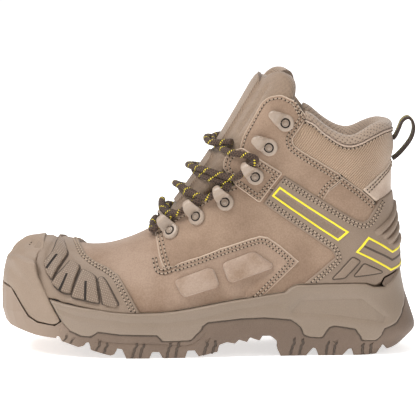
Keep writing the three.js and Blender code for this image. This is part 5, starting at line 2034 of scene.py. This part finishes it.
@dataclass
class Tongue:
    """The padded tongue, in one piece."""

    face: float = -0.8
    back: float = -10.5
    fold: tuple = ((14.5, 167.0), (20.5, 163.0))
    top_line: list = field(
        default_factory=lambda: [
            (60, 178), (61.5, 188), (62.5, 196), (61.5, 203), (58, 208.5), (52.5, 211.3), (47, 210.8),
            (43, 208.4), (40.6, 205.4),
        ]
    )

    def build(self) -> None:
        """Builds the tongue and its front patch."""
        chart = tongue_chart()
        def crest(x: float) -> float:
            """How far along the chart a place of the crest is."""
            return chart.find([(x, float(LAST.crest(x)) - 0.05)], Side.LATERAL)[0][0]

        foot, bend, top = crest(-44), crest(14), crest(36.5)
        low = [(foot, 0), (foot, 13), (crest(-30), 21), (crest(-6), 30), (bend, 38)]
        outline = []
        for side in Side:
            upper = chart.find(self.top_line, side)
            outline.append([*[(u, v * side.value) for u, v in low], *[tuple(place) for place in upper]])
        outline = np.array(rounded([*outline[0][1:], *outline[1][:0:-1]], 3.0, 4))
        patch = np.array(
            rounded(
                [
                    (crest(8), -15), (top - 2, -17), (top + 2, -9), (top + 2, 9), (top - 2, 17),
                    (crest(8), 15),
                ], 4.0,
            )
        )
        lower = np.array(
            rounded(
                [
                    (crest(-24), -12), (crest(-1), -15), (crest(3), -14), (crest(3), 14), (crest(-1), 15),
                    (crest(-24), 12),
                ], 4.0,
            )
        )
        reliefs = [Relief(patch, 2.0, 1.0), Relief(lower, 2.4, 1.2)]
        for side in Side:
            rib = np.array([(crest(16), 26 * side.value), (top, 28 * side.value)])
            reliefs.append(Relief(rib, -1.2, 2.4, 0.8))
        panel = Panel(
            chart, outline, self.face, self.back, edge=3.6, grid=3.2, reliefs=reliefs, crown=1.0,
            crown_reach=10,
        )
        tongue = panel.build("tongue_padded", 60)
        # Beads along the patches' edges, coloured dark as painted shadow lines.
        seams = [
            band("seam", chart, edge, bar_section(1.5, self.face - 1.0, self.face + 1.35, 0.2), closed=True)
            for edge in (patch, lower)
        ]
        seams = join("tongue_seams", seams)
        dress(seams, TONGUE_PATCH_SHADOW, body="")
        dress(tongue, CANVAS, body="", replaces=["tongue_lower", "tongue_upper"])
        (ax, az), (bx, bz) = self.fold
        for piece in (tongue, seams):
            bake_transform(piece)


# ---------------------------------------------------------------- brackets and lace


def surface_point(x: float, z: float, side: Side, height: float) -> tuple[Array, Array]:
    """A point at a height over the leather of one flank, and the leather's normal there."""
    def wall(px: float, pz: float) -> float:
        """The wall's y."""
        return float(
            LAST.middle(np.float64(px), np.float64(pz))
            + side.value * LAST.half(np.float64(px), np.float64(pz))
        )
    step = 0.5
    dx = side.value * (wall(x + step, z) - wall(x - step, z)) / (2 * step)
    dz = side.value * (wall(x, z + step) - wall(x, z - step)) / (2 * step)
    normal = np.array([-dx, side.value, -dz])
    normal /= np.linalg.norm(normal)
    return np.array([x, wall(x, z), z]) + normal * height, normal


@dataclass(frozen=True)
class BracketPlace:
    """Where a lace bracket sits in the side view, its kind, and the height of what it lies on."""

    rivet: Point
    tip: Point
    closed: bool
    base: float

    def frame(self, side: Side) -> Matrix:
        """The bracket's frame: u to its tip, v across, and n out of the leather."""
        origin, normal = surface_point(*self.rivet, side, self.base)
        tip, _ = surface_point(*self.tip, side, self.base)
        u = tip - origin
        u -= normal * float(u @ normal)
        u /= np.linalg.norm(u)
        v = np.cross(normal, u)
        return Matrix([[u[i], v[i], normal[i], origin[i]] for i in range(3)] + [[0, 0, 0, 1]])


PLACES = [
    BracketPlace((-27, 90.5), (-31.5, 97), True, 0.9), BracketPlace((-8, 102), (-12.5, 110.5), True, 0.9),
    BracketPlace((13, 113.5), (8, 122.5), True, 0.9), BracketPlace((35, 133.5), (27, 142.5), True, 2.8),
    BracketPlace((45, 155), (35.5, 161), False, 1.2), BracketPlace((57, 173), (47.5, 179.5), False, 1.2),
]


@dataclass
class Hardware:
    """The lace loops and hooks, each with its rivet."""

    radius: float = 6.4
    tip_radius: float = 3.1
    reach: float = 14.0
    throat: tuple = (9.3, 4.6)
    throat_radius: float = 3.2
    merge_gap: float = 0.12

    def build(self) -> None:
        """Builds one of each kind and copies it to every place."""
        masters = {True: self._bracket(True), False: self._bracket(False)}
        rivet, ring = self._rivet(), self._ring()
        for side in Side:
            for i, place in enumerate(PLACES):
                label = f"{side.word}_{i + 1}"
                kind = "loop" if place.closed else "hook"
                matrix = place.frame(side)
                self._copy(
                    masters[place.closed], f"bracket_{kind}_{label}", matrix, HARDWARE,
                    [f"lace_{kind}_{label}"],
                )
                self._copy(rivet, f"rivet_head_{label}", matrix, RIVET, [f"rivet_{label}"])
                self._copy(ring, f"rivet_shadow_{label}", matrix, SHADOW, [])
        for master in (*masters.values(), rivet, ring):
            bpy.data.objects.remove(master)

    def _copy(
        self, master: bpy.types.Object, name: str, matrix: Matrix, finish: Finish, nodes: list[str],
    ) -> None:
        """Places a copy with a mesh of its own."""
        mesh = master.data.copy()
        moved = matrix.copy()
        moved.translation = matrix.translation * MM
        mesh.transform(moved)
        piece = bpy.data.objects.new(name, mesh)
        bpy.context.scene.collection.objects.link(piece)
        mesh.name = name
        dress(piece, finish, replaces=nodes)

    def _outline(self, inset: float) -> list[Point]:
        """The bracket's teardrop outline, in u and v."""
        tip = self.reach - self.tip_radius
        lean = math.acos((self.radius - self.tip_radius) / tip)
        big, small = self.radius - inset, self.tip_radius - inset
        turns = [lean + (2 * math.pi - 2 * lean) * k / 22 for k in range(23)]
        ends = [-lean + 2 * lean * k / 10 for k in range(11)]
        round_end = [(big * math.cos(t), big * math.sin(t)) for t in turns]
        nose = [(tip + small * math.cos(t), small * math.sin(t)) for t in ends]
        steps = [k / 8 for k in range(1, 8)]
        below = [
            (mix(round_end[-1][0], nose[0][0], t), mix(round_end[-1][1], nose[0][1], t)) for t in steps
        ]
        above = [
            (mix(nose[-1][0], round_end[0][0], t), mix(nose[-1][1], round_end[0][1], t)) for t in steps
        ]
        return [*round_end, *below, *nose, *above]

    def _top(self, u: float, closed: bool) -> float:
        """The height of a bracket's face along u."""
        wall = [(-8, 2.1), (3.4, 2.1), (5.6, 8.3), (7.6, 9.5), (10.5, 9.4), (12.6, 7.6), (14.2, 4.6)]
        lip = [(-8, 2.1), (3.4, 2.1), (5.2, 5.6), (6.6, 8.8), (8.2, 9.5), (11.5, 9.7), (14.2, 9.3)]
        line = np.array(wall if closed else lip)
        return float(np.interp(u, line[:, 0], line[:, 1]))

    def _bracket(self, closed: bool) -> bpy.types.Object:
        """A bracket: rings of the outline, lofted from its seat to its face."""
        rings = []
        levels = [
            (0.0, 0.0, 0.0), (0.0, 1.0, -1.1), (0.45, 1.0, -0.4), (1.1, 1.0, -0.05), (2.0, 1.0, 0.05),
            (3.0, 1.0, 0.0),
        ]
        for inset, share, lift in levels:
            rings.append([(u, v, share * self._top(u, closed) + lift) for u, v in self._outline(inset)])
        spine = [
            (u * 0.8 + 0.6, 0.0, self._top(u * 0.8 + 0.6, closed) + 0.05) for u, _ in self._outline(3.0)
        ]
        rings.append(spine)
        count = len(rings[0])
        verts = [p for ring in rings for p in ring]
        faces = walls(len(rings), count)
        faces.append(list(range(count))[::-1])
        piece = new_object("bracket", np.array(verts), faces, 35)
        merge_doubles(piece, self.merge_gap * MM)
        outward_normals(piece)
        u, n = self.throat
        if closed:
            self._cut(piece, u, n, self.throat_radius, 0.0)
        else:
            self._cut(piece, u + 1.2, n, self.throat_radius + 0.3, 7.0)
        shade(piece, 38)
        return piece

    def _cut(self, piece: bpy.types.Object, u: float, n: float, radius: float, slot: float) -> None:
        """Cuts the lace's way through a bracket, open at its tip when the slot is longer than 0."""
        bpy.ops.mesh.primitive_cylinder_add(
            vertices=28, radius=radius * MM, depth=30 * MM, location=(u * MM, 0, n * MM),
            rotation=(math.pi / 2, 0, 0),
        )
        cutter = bpy.context.object
        if slot:
            bpy.ops.mesh.primitive_cube_add(size=1, location=((u + slot / 2) * MM, 0, n * MM),
                                            scale=(slot * MM, 30 * MM, radius * 2 * MM))
            block = bpy.context.object
            self._boolean(cutter, block, "UNION")
        self._boolean(piece, cutter, "DIFFERENCE")

    @staticmethod
    def _boolean(piece: bpy.types.Object, other: bpy.types.Object, operation: str) -> None:
        """Joins or cuts a piece with another one, which is used up."""
        apply_modifier(piece, "BOOLEAN", operation=operation, object=other, solver="EXACT")
        bpy.data.objects.remove(other)

    def _turned(self, name: str, profile: Sequence[Point], steps: int = 28) -> bpy.types.Object:
        """A turned piece from its profile of (radius, height) points, closed on its axis."""
        verts, faces = [], []
        inner = [p for p in profile if p[0] > 1e-6]
        for k in range(steps):
            turn = 2 * math.pi * k / steps
            verts += [(r * math.cos(turn), r * math.sin(turn), h) for r, h in inner]
        ring = len(inner)
        for k in range(steps):
            a, b = k * ring, ((k + 1) % steps) * ring
            faces += [[a + i, b + i, b + i + 1, a + i + 1] for i in range(ring - 1)]
        low, high = len(verts), len(verts) + 1
        verts += [(0, 0, inner[0][1]), (0, 0, profile[-1][1])]
        for k in range(steps):
            a, b = k * ring, ((k + 1) % steps) * ring
            faces += [[low, b, a], [high, a + ring - 1, b + ring - 1]]
        piece = new_object(name, np.array(verts), faces, 40)
        outward_normals(piece)
        return piece

    def _rivet(self) -> bpy.types.Object:
        """A domed rivet in its ring."""
        return self._turned(
            "rivet",
            [
                (2.7, 1.2), (2.7, 2.4), (2.5, 2.95), (2.0, 3.05), (1.7, 2.8), (1.4, 3.1), (0.8, 3.5),
                (0, 3.6),
            ],
        )

    def _ring(self) -> bpy.types.Object:
        """Painted shadow in the gap round the rivet."""
        return self._turned("ring", [(3.75, 1.4), (3.75, 2.16), (3.55, 2.22), (2.9, 2.2), (0, 2.18)])


@dataclass
class Lacing:
    """The lace, held by the boot all the way, over the same stops as its packed tube."""

    radius: float = 2.5
    on_tongue: float = 3.3
    over_lace: float = 8.9
    run: float = 9.8
    crossings: tuple = (-37, -27.5, -17.5, -7.5, 6.5)

    def build(self) -> None:
        """Builds the lace."""
        route = np.array(self._route())
        gaps = np.sqrt(np.linalg.norm(np.diff(route, axis=0), axis=1))
        knots = np.concatenate([[0], np.cumsum(gaps)])
        points = self._curve(route, knots, 14)
        points = even(points, 1.3)
        lace = tube("lace_braided", points, self.radius * 0.98, 14)
        self._flatten(lace)
        dress(lace, LACE, replaces=["lace"])

    def _flatten(self, lace: bpy.types.Object) -> None:
        """Gives the braid its uneven surface."""
        places = read_points(lace)
        normals = np.array([vertex.normal for vertex in lace.data.vertices])
        wave = np.sin(places[:, 0] / MM * 1.9) * np.sin(places[:, 1] / MM * 1.7 + places[:, 2] / MM * 1.3)
        places += normals * (wave * 0.10 * MM)[:, None]
        write_points(lace, places)

    @staticmethod
    def _curve(route: Array, knots: Array, steps: int) -> Array:
        """A centripetal curve through the route's points."""
        padded = np.vstack([route[0] * 2 - route[1], route, route[-1] * 2 - route[-2]])
        times = np.concatenate([[knots[0] - (knots[1] - knots[0])], knots, [knots[-1] * 2 - knots[-2]]])
        result = []
        for i in range(1, len(padded) - 2):
            p, t = padded[i - 1:i + 3], times[i - 1:i + 3]
            for value in np.linspace(t[1], t[2], steps, endpoint=False):
                a = [
                    (p[k] * (t[k + 1] - value) + p[k + 1] * (value - t[k])) / (t[k + 1] - t[k])
                    for k in range(3)
                ]
                b = [
                    (a[k] * (t[k + 2] - value) + a[k + 1] * (value - t[k])) / (t[k + 2] - t[k])
                    for k in range(2)
                ]
                result.append((b[0] * (t[2] - value) + b[1] * (value - t[1])) / (t[2] - t[1]))
        result.append(route[-1])
        return np.array(result)

    def _throat(self, side: Side, i: int, upwards: bool) -> list[Array]:
        """Into a loop's throat and out of it."""
        place = PLACES[i]
        base = 0.0 if place.base < 2 else 2.5
        matrix = BracketPlace(place.rivet, place.tip, True, base).frame(side)
        centre = np.array(matrix @ Vector((9.3, 0, 4.6)))
        along = np.array(matrix.col[1][:3]) * (-1 if side is Side.LATERAL else 1)
        low, high = centre - along * self.run, centre + along * self.run
        return [low, centre, high] if upwards else [high, centre, low]

    def _over(self, start: Array, stop: Array, crossing: int, over: bool) -> list[Array]:
        """Over the instep's ridge from one flank to the other."""
        x, height = self.crossings[crossing], self.over_lace if over else self.on_tongue
        slope = float(LAST.crest(x + 1) - LAST.crest(x - 1)) / 2
        size = math.hypot(1, slope)
        ridge = np.array([x - slope / size * height, 0, float(LAST.crest(x)) + height / size])
        flank_height = (6.1 if crossing >= 3 else 4.4) + (1.5 if over else 0)
        result = []
        for end in (start, stop):
            fx, fz = mix(ridge[0], end[0], 0.5), mix(ridge[2], end[2], 0.5) - 1.5
            side = Side.LATERAL if end[1] < 0 else Side.MEDIAL
            result.append(surface_point(fx, min(fz, float(LAST.crest(fx)) - 4), side, flank_height)[0])
        return [result[0], ridge, result[1]]

    def _route(self) -> list[Array]:
        """The lace's stops: down one zigzag to the bar at the throat, and up the other."""
        lateral, medial = Side.LATERAL, Side.MEDIAL
        ends = {side: surface_point(19.5, 157, side, 3.1)[0] for side in Side}
        stops = [
            (medial, 3, False, 4, True), (lateral, 2, False, 3, False), (medial, 1, False, 2, True),
            (lateral, 0, False, 1, False), (medial, 0, True, 0, False), (lateral, 1, True, 1, True),
            (medial, 2, True, 2, False), (lateral, 3, True, 3, True),
        ]
        route = [ends[lateral]]
        for side, i, upwards, crossing, over in stops:
            points = self._throat(side, i, upwards)
            route += [*self._over(route[-1], points[0], crossing, over), *points]
        route += [*self._over(route[-1], ends[medial], 4, False), ends[medial]]
        return route


# ---------------------------------------------------------------- loop, inside, studio


@dataclass
class PullLoop:
    """The webbing loop at the back of the collar."""

    width: float = 15.0
    thickness: float = 2.0
    line_width: float = 2.2
    route: list = field(
        default_factory=lambda: [
            (-2.4, 157.5), (-0.6, 159.5), (2.2, 165.5), (5, 171.5), (9, 173.6), (12, 171), (13.2, 165.5),
            (11.5, 158.5), (6, 150.5), (0.2, 144.5), (-2.6, 142.5),
        ]
    )

    def build(self) -> None:
        """Builds the webbing and the line along its middle."""
        start = float(LAST.back(151)) + 4.2
        points = np.array([(start + x, z) for x, z in self.route])
        knots = np.concatenate([[0], np.cumsum(np.sqrt(np.linalg.norm(np.diff(points, axis=0), axis=1)))])
        middle = even(Lacing._curve(points, knots, 10), 1.0)
        web = self._ribbon("pull_loop_webbing", middle, self.width, self.thickness)
        line = self._ribbon("pull_loop_line", middle, self.line_width, self.thickness + 0.3)
        for piece, finish, nodes in ((web, WEBBING, ["pull_loop"]), (line, WEBBING_LINE, [])):
            dress(piece, finish, body="", replaces=nodes)
            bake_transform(piece)

    def _ribbon(self, name: str, middle: Array, width: float, thickness: float) -> bpy.types.Object:
        """A band of webbing with rounded edges along a line of the side view."""
        run = np.gradient(middle, axis=0)
        run /= np.linalg.norm(run, axis=1, keepdims=True)
        normal = np.column_stack([-run[:, 1], run[:, 0]])
        half, deep = width / 2, thickness / 2
        section = [
            (-half, -deep * 0.5), (-half, deep * 0.5), (-half + 0.5, deep), (half - 0.5, deep),
            (half, deep * 0.5), (half, -deep * 0.5), (half - 0.5, -deep), (-half + 0.5, -deep),
        ]
        along = distances(middle)
        verts, uv = [], []
        for point, out, distance in zip(middle, normal, along):
            for y, offset in section:
                place = point + out * offset
                verts.append((place[0], y, place[1]))
                uv.append((distance, y))
        ring, count = len(section), len(middle)
        faces = walls(count, ring)
        faces += [list(range(ring)), [(count - 1) * ring + j for j in range(ring)][::-1]]
        piece = new_object(name, np.array(verts), faces, 40)
        set_uv(piece, np.array(uv))
        outward_normals(piece)
        return piece


class Inside:
    """The pieces inside the boot that stay as they are packed, each with its finish."""

    FINISHES = {
        "foot_lining": LINING_INSIDE, "footbed": FOOTBED, "insole_board": BOARD, "puncture_plate": STEEL,
        "steel_toe_cap": STEEL, "toe_cap_edging": FOAM, "heel_counter": BOARD, "shank": STEEL,
        "heel_panel": NUBUCK,
    }

    def build(self) -> None:
        """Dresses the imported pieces."""
        for name, finish in self.FINISHES.items():
            dress(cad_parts[name], finish, body="")


@dataclass
class Studio:
    """A plain pale floor, soft light and the camera."""

    distance: float = 2.2
    elevation: float = 7.5
    aim: tuple = (0.0, 0.0, 0.105)
    lens: float = 253.8
    surround: float = 0.40

    def build(self) -> None:
        """Builds the studio."""
        scene = bpy.context.scene
        scene.view_settings.view_transform = "Standard"
        self._camera(scene)
        self._floor()
        self._light("key", (-1.5, -0.75, 2.1), 0.9, 44)
        self._light("fill", (1.4, -1.6, 0.9), 1.6, 6)
        self._light("back", (0.3, 1.7, 1.5), 1.6, 14)
        self._light("top", (-0.3, -0.35, 2.4), 1.0, 25)
        self._world(scene)

    def _world(self, scene: bpy.types.Scene) -> None:
        """An even pale surround that is seen white and lights the boot softly."""
        world = bpy.data.worlds.new("studio")
        scene.world = world
        world.use_nodes = True
        wire = Wiring(world.node_tree)
        seen = wire.add("LightPath").outputs["Is Camera Ray"]
        strength = wire.maths("MAXIMUM", seen, self.surround)
        surround = world.node_tree.nodes["Background"]
        surround.inputs["Color"].default_value = (1, 1, 1, 1)
        world.node_tree.links.new(strength, surround.inputs["Strength"])

    def _camera(self, scene: bpy.types.Scene) -> None:
        """The camera, level with the boot and a little above it."""
        data = bpy.data.cameras.new("camera")
        data.lens, data.sensor_width = self.lens, 36
        camera = bpy.data.objects.new("camera", data)
        lift = math.radians(self.elevation)
        back = Vector((0, -math.cos(lift), math.sin(lift)))
        camera.location = Vector(self.aim) + back * self.distance
        camera.rotation_euler = (-back).to_track_quat("-Z", "Y").to_euler()
        scene.collection.objects.link(camera)
        scene.camera = camera

    def _floor(self) -> None:
        """The floor."""
        bpy.ops.mesh.primitive_plane_add(size=14, location=(0, 0, -0.0002))
        floor = bpy.context.object
        floor.name = "floor"
        finish = FLOOR.material()
        shader = finish.node_tree.nodes["Principled BSDF"]
        shader.inputs["Emission Color"].default_value = (1, 1, 1, 1)
        shader.inputs["Emission Strength"].default_value = 0.6
        floor.data.materials.append(finish)

    @staticmethod
    def _light(name: str, place: tuple, size: float, power: float) -> None:
        """One soft light, turned to the boot."""
        data = bpy.data.lights.new(name, "AREA")
        data.shape, data.size, data.energy = "DISK", size, power
        light = bpy.data.objects.new(name, data)
        light.location = place
        light.rotation_euler = (Vector((0, 0, 0.1)) - Vector(place)).to_track_quat("-Z", "Y").to_euler()
        bpy.context.scene.collection.objects.link(light)


def main() -> None:
    """Builds the boot and its studio."""
    logging.basicConfig(level=logging.INFO, format="%(name)s: %(message)s")
    Studio().build()
    Inside().build()
    sewing = Sewing()
    Vamp().build(sewing)
    for side in Side:
        Flank(side).build(sewing)
    ToeGuard().build(sewing)
    HeelCage().build(sewing)
    SoleBlock().build()
    Collar().build(sewing)
    Tongue().build()
    Hardware().build()
    Lacing().build()
    PullLoop().build()
    threads, holes = sewing.build("upper")
    dress(threads, THREAD)
    dress(holes, HOLE)


if __name__ == "__main__":
    main()
